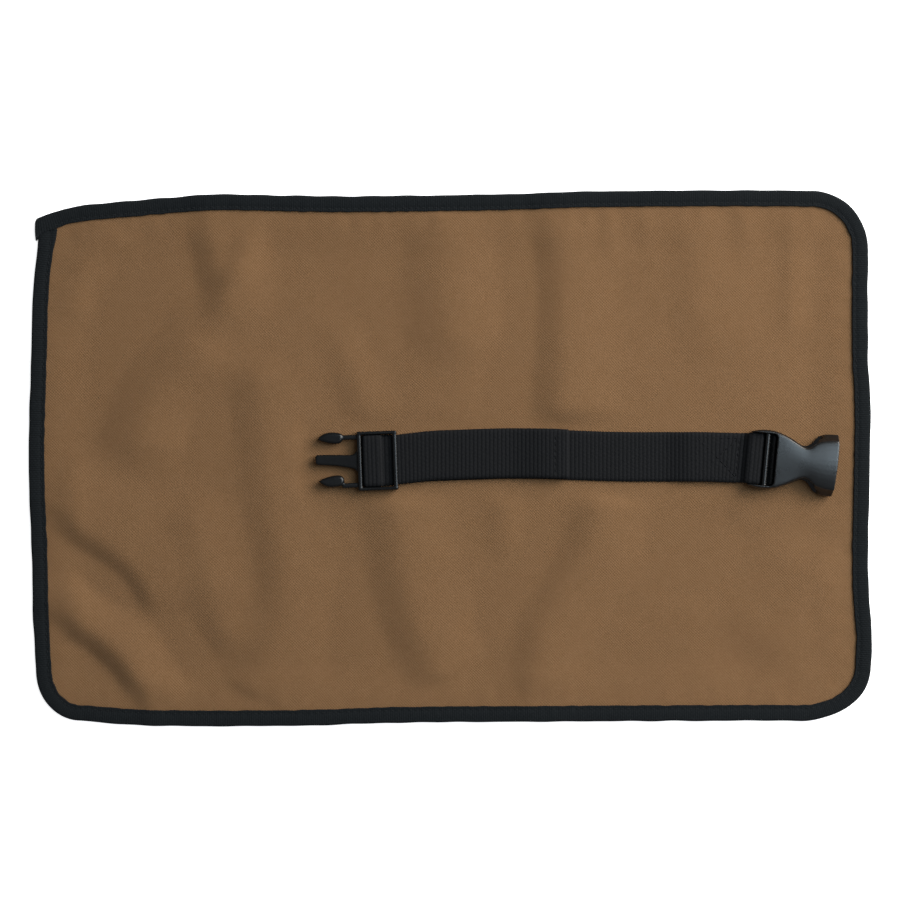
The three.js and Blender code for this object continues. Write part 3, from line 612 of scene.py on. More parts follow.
def ribbed_fabric(name, colour, pitches, relief, constant):
    """A dark ribbed band: ribs across it, each of yarn crowns that shift by half from rib to rib, painted
    lighter on their crowns and darker in their grooves.
    """

    def make_nodes(add):
        turns = {0: add("ShaderNodeUVMap", uv_map="weave"), 1: (*(math.pi / pitch for pitch in pitches), 0)}
        turns = add("ShaderNodeVectorMath", turns, operation="MULTIPLY")
        waves = add("ShaderNodeVectorMath", {0: turns}, operation="SINE")
        waves = add("ShaderNodeSeparateXYZ", {0: waves}).outputs
        crossing = add("ShaderNodeMath", {0: waves["X"], 1: waves["Y"]}, operation="MULTIPLY")
        ribs = add("ShaderNodeMath", {0: waves["X"]}, operation="ABSOLUTE")
        height = add("ShaderNodeMath", {0: crossing, 1: 0.2, 2: ribs}, operation="MULTIPLY_ADD")
        places = add("ShaderNodeTexCoord").outputs["Object"]
        fuzz = add("ShaderNodeTexNoise", {"Vector": places, "Scale": 900.0, "Detail": 2.0})
        height = add("ShaderNodeMath", {0: height, 1: fuzz}, operation="ADD")
        bump = add("ShaderNodeBump", {"Height": height, "Strength": 0.8, "Distance": relief})
        # Painted highlight and shade: the ribs' crowns lighter and the grooves between them darker,
        # following the same heights as the bump
        painted_rib_shade = add("ShaderNodeMapRange", {"Value": height, 1: 0.4, 2: 1.9})
        shade = {0: painted_rib_shade, 6: opaque(colour, 0.6), 7: opaque(colour, 1.35)}
        shade = add("ShaderNodeMix", shade, data_type="RGBA")
        return {"Base Color": shade.outputs[2], "Normal": bump}

    return new_material(name, constant, make_nodes)


def sewing_thread(name, colour):
    """Spun polyester thread, a little glossier than the band that it is sewn through."""

    def make_nodes(add):
        places = add("ShaderNodeTexCoord").outputs["Object"]
        twist = add("ShaderNodeTexNoise", {"Vector": places, "Scale": 2500.0, "Detail": 1.0})
        bump = add("ShaderNodeBump", {"Height": twist, "Strength": 0.5, "Distance": 0.0001})
        shade = {0: twist, 6: opaque(colour, 0.6), 7: opaque(colour, 1.3)}
        shade = add("ShaderNodeMix", shade, data_type="RGBA")
        return {"Base Color": shade.outputs[2], "Normal": bump}

    return new_material(name, {"Roughness": 0.8, "Specular IOR Level": 0.15}, make_nodes)


def moulded_acetal(name, colour, roughness, shine):
    """Black acetal, injection moulded: a satin skin that mirrors the lights softly, clouded a little."""

    def make_nodes(add):
        places = add("ShaderNodeTexCoord").outputs["Object"]
        skin = add("ShaderNodeTexNoise", {"Vector": places, "Scale": 700.0, "Detail": 3.0})
        bump = add("ShaderNodeBump", {"Height": skin, "Strength": 0.12, "Distance": 0.0001})
        cloud = add("ShaderNodeTexNoise", {"Vector": places, "Scale": 90.0, "Detail": 2.0})
        gloss = {"Value": cloud, 1: 0.3, 2: 0.7, 3: roughness - 0.03, 4: roughness + 0.04}
        gloss = add("ShaderNodeMapRange", gloss)
        shade = {0: cloud, 6: opaque(colour), 7: opaque(colour, 1.35)}
        shade = add("ShaderNodeMix", shade, data_type="RGBA")
        return {"Base Color": shade.outputs[2], "Roughness": gloss, "Normal": bump}

    return new_material(name, {"IOR": 1.48, "Specular IOR Level": shine}, make_nodes)


# The cloth


class TOOLROLL_OT_cloth(bpy.types.Operator):
    """Lays the cloth panel on the surface, with its creases"""

    bl_idname = "tool_roll.cloth"
    bl_label = "Cloth panel"

    def execute(self, context):
        settings = context.scene.tool_roll_cloth
        along, across = settings.cells_along, settings.cells_across
        places, inward = edge_stations(settings, along, across)
        rim = places + RIM_INSET * inward
        left = rim[:across + 1][::-1]
        lower = rim[across:across + along + 1]
        right = rim[across + along:2 * across + along + 1]
        upper = np.vstack([rim[2 * across + along:], rim[:1]])[::-1]
        u = np.linspace(0, 1, along + 1)[None, :, None]
        v = np.linspace(0, 1, across + 1)[:, None, None]
        grid = lower[None] * (1 - v) + upper[None] * v + left[:, None] * (1 - u) + right[:, None] * u
        grid -= (1 - u) * (1 - v) * lower[0] + u * (1 - v) * lower[-1]
        grid -= (1 - u) * v * upper[0] + u * v * upper[-1]
        heights = cloth_underside(grid.reshape(-1, 2), settings).reshape(across + 1, along + 1)
        for _ in range(2):
            inner = heights[1:-1, 1:-1]
            around = heights[:-2, 1:-1] + heights[2:, 1:-1] + heights[1:-1, :-2] + heights[1:-1, 2:]
            heights[1:-1, 1:-1] = 0.5 * inner + 0.125 * around
        sheet = grid_sheet("cloth_panel", np.dstack([grid, heights]), grid)
        apply_modifier(sheet, "SOLIDIFY", thickness=settings.thickness, offset=1.0)
        sheet.data.shade_smooth()
        smooth_by_angle(sheet, 60)
        finish_piece(sheet, oxford_cloth(settings), "cloth", "panel")
        return {"FINISHED"}


# The binding


def binding_run(cloth, binding):
    """The tape from below the tab, round the roll, to the tab's end: places, ways and measures at each."""
    places, inward = edge_stations(cloth, 520, 330)
    corner = places[0]
    lengths = lengths_along(np.vstack([places, places[:1]]))
    # The tape starts below its own end, a little way down the left side
    start = 4.0
    kept = lengths[:-1] > start
    ahead = corner - places[-1]
    ahead /= np.linalg.norm(ahead)
    out = leftward(ahead)
    reach = binding.tab_reach / MM
    tab_rounding = 2.6
    tab_steps = np.array([0.0, 0.25, 0.5, 0.72, 0.88, 0.97, 1.0])
    tab = corner + tab_steps[:, None] * reach * ahead
    run = np.vstack([places[kept], tab])
    way = np.vstack([inward[kept], np.tile(out, (len(tab), 1))])
    along = np.concatenate([lengths[:-1][kept], lengths[-1] + tab_steps * reach])
    to_end = along[-1] - along
    widening = ease(1 - to_end / 3.0) + 0.65 * ease(1 - (along - start) / 14)
    depth = binding.depth / MM + (binding.tab_depth - binding.depth) / MM * widening
    layer = 0.35 * ease(1 - to_end / 14) - 0.45 * ease(1 - (along - start) / 12)
    rounding = np.zeros(len(run))
    rounding[-len(tab):] = tab_rounding * (1 - np.sqrt(1 - tab_steps ** 2))
    slant = np.outer(0.3 * ease(1 - to_end / 11), ahead)
    return run, way, along, depth, layer, rounding, slant


def tape_ring(depth, wall):
    """The tape's folded section as places of depth and level, out of the tape and back inside it."""
    top = 2 * wall + TAPE_GAP
    bend = 1.5
    outer = []
    for middle, start, end in ((bend, -math.pi / 2, -math.pi), (top - bend, math.pi, math.pi / 2)):
        for angle in np.linspace(start, end, 6):
            outer.append((bend + bend * math.cos(angle), middle + bend * math.sin(angle)))
    upper = [(3.0, top + 0.06), (4.4, top + 0.03), (5.4, top - 0.08), (6.0, top - 0.3)]
    upper += [(SEAM_DEPTH, top - 0.36), (6.8, top - 0.28)]
    upper += [(depth - 0.5, top - 0.12), (depth - 0.1, top - 0.28)]
    lip = [(depth, top - 0.6), (depth - 0.12, top - wall - 0.1)]
    inner = [(SEAM_DEPTH, top - wall - 0.1), (1.6, top - wall), (wall, top - wall - 0.5)]
    inner += [(wall, wall + 0.5), (1.6, wall), (SEAM_DEPTH, wall), (depth - 0.1, wall)]
    under = [(depth, wall - 0.3), (depth - 0.15, 0.12), (depth - 0.6, 0.0)]
    return np.array(under + [(5.0, 0.0), (3.2, 0.0)] + outer + upper + lip + inner)


class TOOLROLL_OT_binding(bpy.types.Operator):
    """Folds the tape over the panel's edge, with its end tab and its row of stitches"""

    bl_idname = "tool_roll.binding"
    bl_label = "Edge binding"

    def execute(self, context):
        cloth = context.scene.tool_roll_cloth
        settings = context.scene.tool_roll_binding
        run, way, along, depth, layer, rounding, slant = binding_run(cloth, settings)
        total = along[-1]
        wall = settings.thickness / MM
        lift = EDGE_SHARE * fold_lift(run + 5 * way, cloth.crease_scale) + layer
        lip = 0.16 * ripple(along, total, 21, 26, 7.0)
        pucker = 0.07 * ripple(along, total, 5, 40, 4.0)
        sway = 0.16 * ripple(along, total, 33, 16, 16.0)
        rings = []
        patterns = []
        for k in range(len(run)):
            ring = tape_ring(depth[k] + lip[k], wall)
            reach = ring[:, 0] / depth[k]
            level = ring[:, 1] + lift[k] + np.where(ring[:, 1] > 2, pucker[k] * bell(1.6 * reach - 1), 0)
            spot = run[k] + np.outer(ring[:, 0] + (sway[k] + rounding[k]) * (1 - reach), way[k])
            spot += np.outer(ring[:, 0] - rounding[k] * reach ** 4, slant[k])
            rings.append(np.column_stack([spot, np.maximum(level, 0)]))
            patterns.append(np.column_stack([np.full(len(ring), along[k]), lengths_along(ring)]))
        tape = tube("binding_tape", rings, patterns, 0.9)
        smooth_by_angle(tape, 50)
        constant = {"Roughness": 0.95, "Specular IOR Level": 0.1}
        pitches = (settings.rib_pitch, 0.0009)
        grosgrain = ribbed_fabric("Grosgrain tape", settings.colour, pitches, 0.00012, constant)
        finish_piece(tape, grosgrain, "binding_tape", "edge_binding")
        spots = np.arange(along[0] + 2, total - 3, settings.stitch_pitch / MM)
        seam = run + SEAM_DEPTH * way
        level = lift + 2 * wall + TAPE_GAP - 0.3
        places = np.column_stack([np.interp(spots, along, line) for line in (*seam.T, level)])
        stitch = stitch_template(0.0025, 0.00055)
        row = stamped("binding_stitches", stitch, places, np.gradient(places, axis=0))
        finish_piece(row, sewing_thread("Binding thread", settings.colour), "binding_tape")
        return {"FINISHED"}


# The strap


def near_plug(x):
    return 1 - ease((x - PLUG_CENTRE - 4) / 28)


def near_socket(x):
    return ease((x - SOCKET_REAR + 25.4) / (0.85 * 25.4))


def strap_centre(x, sway):
    plug_line = PLUG_SIDE + (x - PLUG_CENTRE) * math.tan(math.radians(PLUG_YAW))
    socket_line = SOCKET_SIDE + np.maximum(0, x - SOCKET_REAR) * math.tan(math.radians(SOCKET_YAW))
    a, b = near_plug(x), near_socket(x)
    bow = 1.4 * bell((x - 35) / 60) - 0.5
    return plug_line * a + socket_line * b + (sway + bow) * (1 - a - b)


def strap_slant(x):
    return np.tan(np.radians(PLUG_YAW * near_plug(x) + SOCKET_YAW * near_socket(x)))


def strap_path():
    """The middle of the webbing from the hem's cut end to the sewn end: X, level and sideways sway."""
    path = []

    def slope(x, reach, level, level_after, sway=STRAND_SWAY):
        for share in np.linspace(0, 1, 9):
            path.append((x + reach * share, level + (level_after - level) * float(ease(share)), sway))

    def turn(x, z, radius, start, end, sway=STRAND_SWAY):
        for angle in np.radians(np.linspace(start, end, 13)):
            path.append((x + radius * math.cos(angle), z + radius * math.sin(angle), sway))

    # The webbing's turns: their radius, and the levels at which it rounds the bars
    wrap, bar_low, bar_top = 1.0, 3.4, 5.6
    middle_from = PLUG_CENTRE - 5.5
    middle_to = middle_from + 6.9
    tail_end = PLUG_CENTRE + TAIL_LENGTH
    hem_from = tail_end - 8.5
    hem_turn = (HEM_LEVEL - TAIL_LEVEL) / 2
    bar_to = SOCKET_REAR + 4.6
    sewn_end = SOCKET_REAR - 27.6
    path.append((hem_from, TAIL_LEVEL, TAIL_SWAY))
    turn(tail_end - hem_turn - 0.7, TAIL_LEVEL + hem_turn, hem_turn, -90, 90, TAIL_SWAY)
    slope(hem_from, -22, HEM_LEVEL, TAIL_LEVEL, TAIL_SWAY)
    turn(middle_to + 2 * wrap, TAIL_LEVEL + wrap, wrap, 270, 180, TAIL_SWAY)
    turn(middle_to, bar_top, wrap, 0, 90)
    turn(middle_from, bar_top, wrap, 90, 180)
    turn(middle_from, bar_low, wrap, 180, 270)
    slope(sewn_end - 16, 15.5, STRAND_LEVEL, TAIL_LEVEL)
    slope(SOCKET_REAR - 4, 4, TAIL_LEVEL, bar_top + wrap)
    turn(bar_to, bar_top, wrap, 90, 0)
    turn(bar_to, bar_low, wrap, 0, -90)
    path.append((sewn_end, STRAND_LEVEL, STRAND_SWAY))
    path = evenly_spaced(np.array(path), 1360)
    for _ in range(4):
        path[1:-1] = (path[:-2] + 2 * path[1:-1] + path[2:]) / 4
    return path


def strap_stitch_lines(half):
    """The sewn lines, as ends in X and in distance from the webbing's middle: box and cross, and hem."""
    low, high = SOCKET_REAR - 26.5, SOCKET_REAR - 6.0
    side = half - 2.6
    box = [((low, -side), (high, -side)), ((low, side), (high, side))]
    box += [((low, -side), (low, side)), ((high, -side), (high, side))]
    cross = [((low, -side), (high, side)), ((low, side), (high, -side))]
    hem = [((PLUG_CENTRE + HEM_SEAM, -side), (PLUG_CENTRE + HEM_SEAM, side))]
    return box + cross, hem


def line_distance(x, a, ends):
    """Distance of each place on the webbing from a sewn line."""
    start, end = np.array(ends[0], float), np.array(ends[1], float)
    along = end - start
    share = ((x - start[0]) * along[0] + (a - start[1]) * along[1]) / (along @ along)
    share = np.clip(share, 0, 1)
    return np.hypot(x - start[0] - share * along[0], a - start[1] - share * along[1])


class TOOLROLL_OT_strap(bpy.types.Operator):
    """Threads the webbing through the plug and the socket, ribbed, hemmed and sewn"""

    bl_idname = "tool_roll.strap"
    bl_label = "Webbing strap"

    def execute(self, context):
        settings = context.scene.tool_roll_strap
        half = settings.width / 2 / MM
        thick = settings.thickness / 2 / MM
        path = strap_path()
        along = lengths_along(path[:, :2])
        ahead = unit(np.gradient(path[:, :2], axis=0))
        columns = np.linspace(-1, 1, 19)
        across = np.concatenate([[-1], columns * (half - 0.45) / half, [1]])
        body = np.concatenate([[0.0], np.full(len(columns), 1.0), [0.0]])
        body[1] = body[-2] = 0.8
        ring_a = np.concatenate([across, across[::-1][1:-1]])
        ring_b = np.concatenate([body, -body[::-1][1:-1]])
        rib = np.sqrt(np.clip(1 - (2 * ((along / (settings.rib_pitch / MM)) % 1) - 1) ** 2, 0, 1))
        sewn, hem = strap_stitch_lines(half)
        width_play = 0.04 * ripple(along, along[-1], 3, 14, 14.0)
        x, z, sway = path[:, 0], path[:, 1], path[:, 2]
        snug = bell((x - PLUG_CENTRE) / 10) + bell((x - SOCKET_REAR - 3) / 6)
        a = ring_a[None, :] * (half + width_play + 0.35 * np.minimum(1, 2 * snug))[:, None]
        b = ring_b[None, :] * (thick - 0.1 + 0.1 * rib[:, None])
        # The sewn lines pull the webbing in, each on its own layer only
        on_return = (along > along[-1] - 60)[:, None] & (z[:, None] > 3.5)
        on_hem = (along < 30)[:, None]
        dent = np.zeros_like(a)
        for lines, where in ((sewn, on_return), (hem, on_hem)):
            for ends in lines:
                dent = np.maximum(dent, bell(line_distance(x[:, None], a, ends) / 0.9) * where)
        b = b - 0.22 * dent * np.sign(ring_b[None, :])
        centre = strap_centre(x, sway)[:, None]
        slant = strap_slant(x)[:, None]
        rings = np.dstack([
            x[:, None] - b * ahead[:, 1:2] - a * slant,
            centre + a,
            z[:, None] + b * ahead[:, 0:1],
        ])
        pattern_a = np.cumsum(np.abs(np.diff(ring_a, prepend=ring_a[:1]))) * half
        patterns = np.dstack(np.meshgrid(along, pattern_a, indexing="ij"))
        band = tube("webbing_strap", rings, patterns, 0.5)
        smooth_by_angle(band, 50)
        constant = {"Roughness": 0.75, "Specular IOR Level": 0.12}
        webbing = ribbed_fabric(
            "Ribbed webbing", settings.colour, (settings.rib_pitch, 0.001), 0.0001, constant
        )
        finish_piece(band, webbing, "webbing", "strap")
        self.sew(settings, half)
        return {"FINISHED"}

    def sew(self, settings, half):
        """Lays the stitches of the box, its cross and the hem."""
        sewn, hem = strap_stitch_lines(half)
        length = settings.stitch_length / MM
        places = []
        aheads = []
        above = 0.62
        for lines, level, sway in ((sewn, TAIL_LEVEL, STRAND_SWAY), (hem, HEM_LEVEL, TAIL_SWAY)):
            for start, end in lines:
                start, end = np.array(start, float), np.array(end, float)
                count = max(2, int(np.linalg.norm(end - start) / (length + 0.5)))
                for share in (np.arange(count) + 0.5) / count:
                    x, a = start + (end - start) * share
                    slant = float(strap_slant(np.array(x)))
                    centre = float(strap_centre(np.array(x), sway))
                    places.append((x - a * slant, centre + a, level + above))
                    way = (end - start) / np.linalg.norm(end - start)
                    aheads.append((way[0] - way[1] * slant, way[1] + way[0] * slant, 0))
        stitch = stitch_template(settings.stitch_length, 0.0006)
        row = stamped("strap_stitches", stitch, places, aheads)
        finish_piece(row, sewing_thread("Strap thread", settings.colour), "webbing")


# The buckle: shapes in millimetres round each half's own middle or rear, then put in place


def lofted(name, levels):
    """A closed solid through outlines of equal count, each with its level, from the lowest up."""
    rings = [np.column_stack([outline, np.broadcast_to(level, len(outline))]) for outline, level in levels]
    return tube(name, rings)


def bar(name, x_range, y_range, z_range, round_by):
    """A bar with rounded edges between two places along each axis."""
    deselect()
    bpy.ops.mesh.primitive_cube_add(size=1)
    made = bpy.context.object
    made.name = name
    for vertex in made.data.vertices:
        share = vertex.co + Vector((0.5, 0.5, 0.5))
        vertex.co = [MM * (r[0] + (r[1] - r[0]) * s) for r, s in zip((x_range, y_range, z_range), share)]
    with edit_mode(made):
        bpy.ops.mesh.bevel(offset=round_by * MM, segments=3, profile=0.5)
    return made


def cut_away(piece, cutter):
    apply_modifier(piece, "BOOLEAN", operation="DIFFERENCE", solver="EXACT", object=cutter)
    bpy.data.objects.remove(cutter)


def moulded(name, parts, grain, soften):
    """Joins overlapping solids into one and softens its edges as a mould does."""
    choose(parts[0])
    for part in parts:
        part.select_set(True)
    bpy.ops.object.join()
    whole = parts[0]
    whole.name = name
    whole.data.name = name
    apply_modifier(whole, "REMESH", mode="VOXEL", voxel_size=grain, use_smooth_shade=True)
    apply_modifier(whole, "SMOOTH", factor=0.5, iterations=soften)
    return whole


def put_in_place(piece, matrix):
    piece.data.transform(matrix)
    piece.data.update()


def offset_outline(outline, distance):
    """An outline moved inwards by a distance at each place, for an outline that runs anticlockwise."""
    outline = np.asarray(outline, float)
    ahead = np.roll(outline, -1, axis=0) - np.roll(outline, 1, axis=0)
    ahead /= np.maximum(np.linalg.norm(ahead, axis=1), 1e-9)[:, None]
    return outline + distance * leftward(ahead)


def rounded_solid(name, outline, steps):
    """A closed solid over an outline, moved inwards by a distance at each level, from the lowest up."""
    return lofted(name, [(offset_outline(outline, inset), level) for inset, level in steps])


def rounded_box_outline(x_range, y_range, radius):
    corners = [
        (x_range[1] - radius, y_range[0] + radius, -90),
        (x_range[1] - radius, y_range[1] - radius, 0),
        (x_range[0] + radius, y_range[1] - radius, 90),
        (x_range[0] + radius, y_range[0] + radius, 180),
    ]
    outline = []
    for x, y, start in corners:
        for angle in np.radians(np.linspace(start, start + 90, 5)):
            outline.append((x + radius * math.cos(angle), y + radius * math.sin(angle)))
    return np.array(outline)


def prong_outline(side):
    """A prong's barbed head seen from above, from its tip along its outer edge to its heel and back."""
    tip = -10.4 - 18.8
    outer = [(0.0, 10.2), (1.6, 11.8), (4.0, 13.0), (7.0, 13.4), (10.2, 13.1), (12.2, 12.3)]
    inner = [(12.8, 10.9), (12.6, 9.2), (11.4, 7.9), (9.2, 7.5), (6.4, 7.8), (4.0, 8.4), (1.4, 9.2)]
    line = smooth_line(outer + inner + outer[:1], 3)[:-1]
    line = np.column_stack([tip + line[:, 0], line[:, 1] + PRONG_LEAN[side]])
    if side < 0:
        line = (line * [1, -1])[::-1]
    return line[::-1]


class TOOLROLL_OT_plug(bpy.types.Operator):
    """Models the buckle's plug: frame, three bars, two sprung prongs and a guide"""

    bl_idname = "tool_roll.plug"
    bl_label = "Buckle plug"

    def execute(self, context):
        settings = context.scene.tool_roll_buckle
        high = settings.frame_height / MM
        near, far, outer = -9.5, 10.4, 14.75
        # The bar that carries the prongs, the one that the webbing goes over and the one that it leaves by
        parts = [
            bar("plug", (near, -7.4), (-outer + 0.4, outer - 0.4), (0.1, high - 0.1), 0.6),
            bar("bar", (-5.5, 1.4), (-13.5, 13.5), (1.7, 3.9), 0.3),
            bar("bar", (8.1, far), (-outer + 0.3, outer - 0.3), (3.4, 5.55), 0.8),
        ]
        for side in (-1, 1):
            across = sorted((side * PASSAGE_HALF, side * outer))
            outline = rounded_box_outline((near, far), across, 0.7)
            steps = [(0.35, 0.0), (0, 0.4), (0, high - 0.5), (0.4, high)]
            parts.append(rounded_solid("rail", outline, steps))
            low, top = high / 2 - 2.0, high / 2 + 2.0
            steps = [(0.9, low), (0.3, low + 0.35), (0, low + 1.1)]
            steps += [(0, top - 1.2), (0.35, top - 0.4), (1.0, top)]
            parts.append(rounded_solid("head", prong_outline(side), steps))
            stem = (10.9, 13.3) if side > 0 else (-13.0, -10.6)
            parts.append(bar("stem", (-17.6, -8.6), stem, (high / 2 - 1.5, high / 2 + 1.5), 0.5))
        half, root_half = 2.5, 3.3
        guide = [(-30.5, -half + 0.9), (-29.6, -half), (-20, -half - 0.25), (-12.8, -root_half)]
        guide += [(-11.3, -root_half - 0.4), (-10.3, -root_half - 1.4), (-9.5, -root_half - 3.2)]
        guide += [(-8.7, -root_half - 3.2)]
        guide = np.array(guide + [(x, -y) for x, y in guide[::-1]])
        guide[:, 1] += PRONG_LEAN[0] * ease((-12 - guide[:, 0]) / 14)
        low, top = high / 2 - 1.5, high / 2 + 1.5
        steps = [(0.5, low), (0, low + 0.5), (0, top - 0.5), (0.5, top)]
        parts.append(rounded_solid("guide", guide, steps))
        plug = moulded("buckle_plug_body", parts, 0.8 * settings.grain, 12)
        place = Matrix.Translation(Vector((PLUG_CENTRE, PLUG_SIDE, BUCKLE_BASE)) * MM)
        put_in_place(plug, place @ Matrix.Rotation(math.radians(PLUG_YAW), 4, "Z"))
        plastic = moulded_acetal("Polished black acetal", settings.colour, settings.plug_roughness, 0.32)
        finish_piece(plug, plastic, "buckle_plastic", "buckle_plug")
        return {"FINISHED"}


def socket_section(half, inset, top, crown, pinch):
    """One upright section: flat base, walls pinched in at the windows, steep shoulders, crowned top."""
    drop = crown + 0.6 + 1.35 * inset
    flat = half - inset
    right = [(0, 0), (0.6 * half, 0), (half - 1.1, 0), (half - 0.3, 0.3), (half, 1.1 - 0.5 * pinch)]
    right += [(half - 0.95 * inset * pinch, (1 - pinch) * (top - drop) + 1.9 * pinch)]
    right += [(flat + 0.5 * inset, top - crown - 0.55 * (drop - crown)), (flat + 0.25, top - crown - 0.5)]
    right += [(flat + 0.05, top - crown - 0.12)]
    right += [(flat * share, top - crown * share ** 2) for share in (0.95, 0.8, 0.6, 0.4, 0.2, 0)]
    return np.array(right + [(-y, z) for y, z in right[-2:0:-1]])


def socket_body(half_mouth, high):
    """The socket's outer shape, as sections from its rear to its slightly bowed mouth."""
    rows = [(x * SOCKET_LENGTH, w * half_mouth, i * half_mouth) for x, w, i in SOCKET_OUTLINE]
    rings = []
    for x, half, inset in smooth_line(rows, 6):
        share = x / SOCKET_LENGTH
        crown = half * (0.025 + 0.05 * float(ease((share - 0.35) / 0.4)))
        pinch = float(ease((share - 0.5) / 0.1) * (1 - ease((share - 0.78) / 0.05)))
        top = high - 0.7 * (1 - float(ease((x - 2) / 38)))
        section = socket_section(half, inset, top, crown, pinch)
        bow = 0.8 * float(ease((share - 0.75) / 0.25))
        reach = section[:, 0] / half
        spot = x - bow * (reach ** 2 - 0.4 * reach)
        rings.append(np.column_stack([spot, section]))
    return tube("socket", rings)


class TOOLROLL_OT_socket(bpy.types.Operator):
    """Models the buckle's socket: a hollow waisted body with its slot, two bars and mouth"""

    bl_idname = "tool_roll.socket"
    bl_label = "Buckle socket"

    def execute(self, context):
        settings = context.scene.tool_roll_buckle
        half_mouth = settings.mouth_width / 2 / MM
        high = settings.socket_height / MM
        body = socket_body(half_mouth, high)
        apply_modifier(body, "REMESH", mode="VOXEL", voxel_size=settings.grain)
        # Cut out: the way of the webbing, the slot with its sloping floor, and the room for the prongs. The
        # slot's cutter stops above the base and leaves a thin sloping floor of black plastic: a dark sheet
        # standing in for the shade in a slot that the imported model leaves open.
        passage_end = 6.7
        passage = rounded_box_outline((-9, passage_end), (-PASSAGE_HALF, PASSAGE_HALF), 2.0)
        cut_away(body, lofted("cutter", [(passage, -2.0), (passage, high + 2)]))
        slot = rounded_box_outline((3.0, 12.6), (-PASSAGE_HALF, PASSAGE_HALF), 2.0)
        # Painted shade: the slot's floor is black plastic put where the slot is open
        slot_shade_floor = 0.5 + 0.36 * (slot[:, 0] - passage_end)
        cut_away(body, lofted("cutter", [(slot, slot_shade_floor), (slot, high + 2)]))
        cavity = [(16.0, -8.6), (22.9, -10.1), (30.8, -12.9), (50, -12.9)]
        cavity = np.array(cavity + [(x, -y) for x, y in cavity[::-1]])
        narrow = cavity - [(0, 2.4)] * np.sign(cavity)
        cut_away(body, lofted("cutter", [(cavity, 1.9), (cavity, 3.9), (narrow, high - 1.9)]))
        parts = [
            body,
            bar("bar", (0.3, 4.6), (-13.4, 13.4), (1.7, 3.9), 0.3),
            bar("bar", (6.8, 9.4), (-13.6, 13.6), (4.0, 6.5), 1.2),
        ]
        for side in (-1, 1):
            across = sorted((side * 4.3, side * 5.3))
            parts.append(bar("rib", (15.2, 30), across, (1.5, high - 1.5), 0.2))
        socket = moulded("buckle_socket_body", parts, settings.grain, 9)
        place = Matrix.Translation(Vector((SOCKET_REAR, SOCKET_SIDE, BUCKLE_BASE)) * MM)
        yaw = Matrix.Rotation(math.radians(SOCKET_YAW), 4, "Z")
        pitch = Matrix.Rotation(-math.asin(EDGE_LIFT / SOCKET_LENGTH), 4, "Y")
        put_in_place(socket, place @ yaw @ pitch)
        plastic = moulded_acetal("Satin black acetal", settings.colour, settings.socket_roughness, 0.5)
        finish_piece(socket, plastic, "buckle_plastic", "buckle_socket")
        return {"FINISHED"}


# The studio


def light_table():
    """Opal acrylic of a light table, lit faintly from below, which shows as an even white."""

    def make_nodes(add):
        places = add("ShaderNodeTexCoord").outputs["Object"]
        grain = add("ShaderNodeTexNoise", {"Vector": places, "Scale": 300.0})
        shade = {0: grain, 6: linear("#f4f4f4"), 7: linear("#f8f8f8")}
        return {"Base Color": add("ShaderNodeMix", shade, data_type="RGBA").outputs[2]}

    constant = {"Roughness": 1.0, "Specular IOR Level": 0.1}
    constant.update({"Emission Strength": 0.8, "Emission Color": linear("#ffffff")})
    return new_material("Opal light table", constant, make_nodes)


def soft_light(name, place, size, power, colour):
    """A square softbox that faces the middle of the roll."""
    deselect()
    turn = (-Vector(place)).to_track_quat("-Z", "Y").to_euler()
    bpy.ops.object.light_add(type="AREA", location=place, rotation=turn)
    light = bpy.context.object
    light.name = name
    light.data.shape = "SQUARE"
    light.data.size = size
    light.data.energy = power
    light.data.color = linear(colour)[:3]


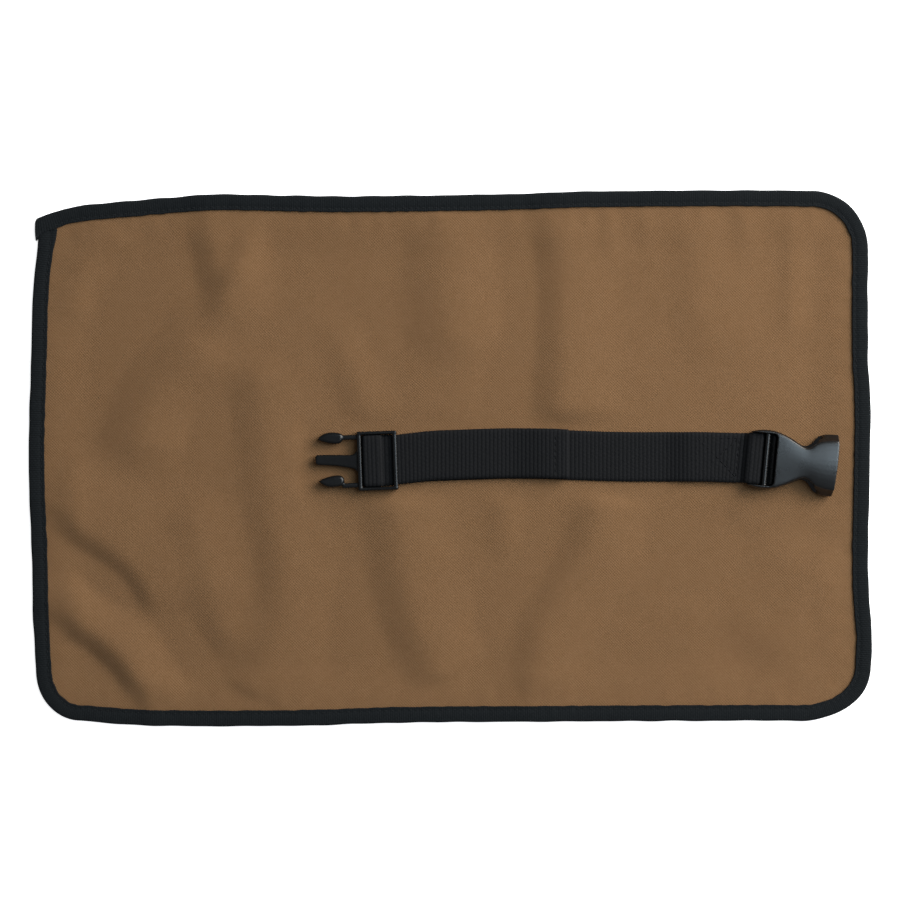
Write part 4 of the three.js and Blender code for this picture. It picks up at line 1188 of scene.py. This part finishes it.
class TOOLROLL_OT_studio(bpy.types.Operator):
    """Sets up the floor, the soft lights and the camera straight above"""

    bl_idname = "tool_roll.studio"
    bl_label = "Studio"

    def execute(self, context):
        settings = context.scene.tool_roll_studio
        deselect()
        bpy.ops.mesh.primitive_plane_add(size=8, location=(0, 0, 0))
        floor = context.object
        floor.name = "floor"
        put_in_place(floor, Matrix.Translation((0, 0, -0.0004)))
        floor.data.materials.append(light_table())
        soft_light("key light", (1.32, 0.8, 0.88), 1.4, settings.key_power, "#fffaf4")
        soft_light("top light", (0.78, 0.32, 2.0), 0.95, settings.top_power, "#dcf1ff")
        world = bpy.data.worlds.new("surroundings")
        world.use_nodes = True
        context.scene.world = world
        background = world.node_tree.nodes["Background"]
        background.inputs["Color"].default_value = linear("#f2f4f8")
        background.inputs["Strength"].default_value = settings.sky
        context.scene.view_settings.view_transform = "Standard"
        # The photo's middle lies a little above and to the right of the roll's
        bpy.ops.object.camera_add(location=(0.0005, 0.004, settings.camera_height), rotation=(0, 0, 0))
        camera = context.object
        camera.name = "camera"
        camera.data.sensor_width = sensor = 36
        camera.data.lens = sensor * settings.camera_height / settings.view_width
        camera.data.clip_start = 0.01
        context.scene.camera = camera
        return {"FINISHED"}


class TOOLROLL_PT_sidebar(bpy.types.Panel):
    """Lists the pieces of the tool roll"""

    bl_idname = "TOOLROLL_PT_sidebar"
    bl_label = "Tool roll"
    bl_space_type = "VIEW_3D"
    bl_region_type = "UI"
    bl_category = "Tool roll"

    def draw(self, context):
        for operator in OPERATORS:
            self.layout.operator(operator.bl_idname)


SETTINGS = {
    "tool_roll_cloth": ClothSettings,
    "tool_roll_binding": BindingSettings,
    "tool_roll_strap": StrapSettings,
    "tool_roll_buckle": BuckleSettings,
    "tool_roll_studio": StudioSettings,
}
OPERATORS = [
    TOOLROLL_OT_studio,
    TOOLROLL_OT_cloth,
    TOOLROLL_OT_binding,
    TOOLROLL_OT_strap,
    TOOLROLL_OT_plug,
    TOOLROLL_OT_socket,
]


def register():
    for name, group in SETTINGS.items():
        bpy.utils.register_class(group)
        setattr(bpy.types.Scene, name, PointerProperty(type=group))
    for operator in OPERATORS:
        bpy.utils.register_class(operator)
    bpy.utils.register_class(TOOLROLL_PT_sidebar)


def unregister():
    bpy.utils.unregister_class(TOOLROLL_PT_sidebar)
    for operator in reversed(OPERATORS):
        bpy.utils.unregister_class(operator)
    for name, group in reversed(SETTINGS.items()):
        delattr(bpy.types.Scene, name)
        bpy.utils.unregister_class(group)


def main():
    register()
    bpy.ops.tool_roll.studio()
    bpy.ops.tool_roll.cloth()
    bpy.ops.tool_roll.binding()
    bpy.ops.tool_roll.strap()
    bpy.ops.tool_roll.plug()
    bpy.ops.tool_roll.socket()


if __name__ == "__main__":
    main()
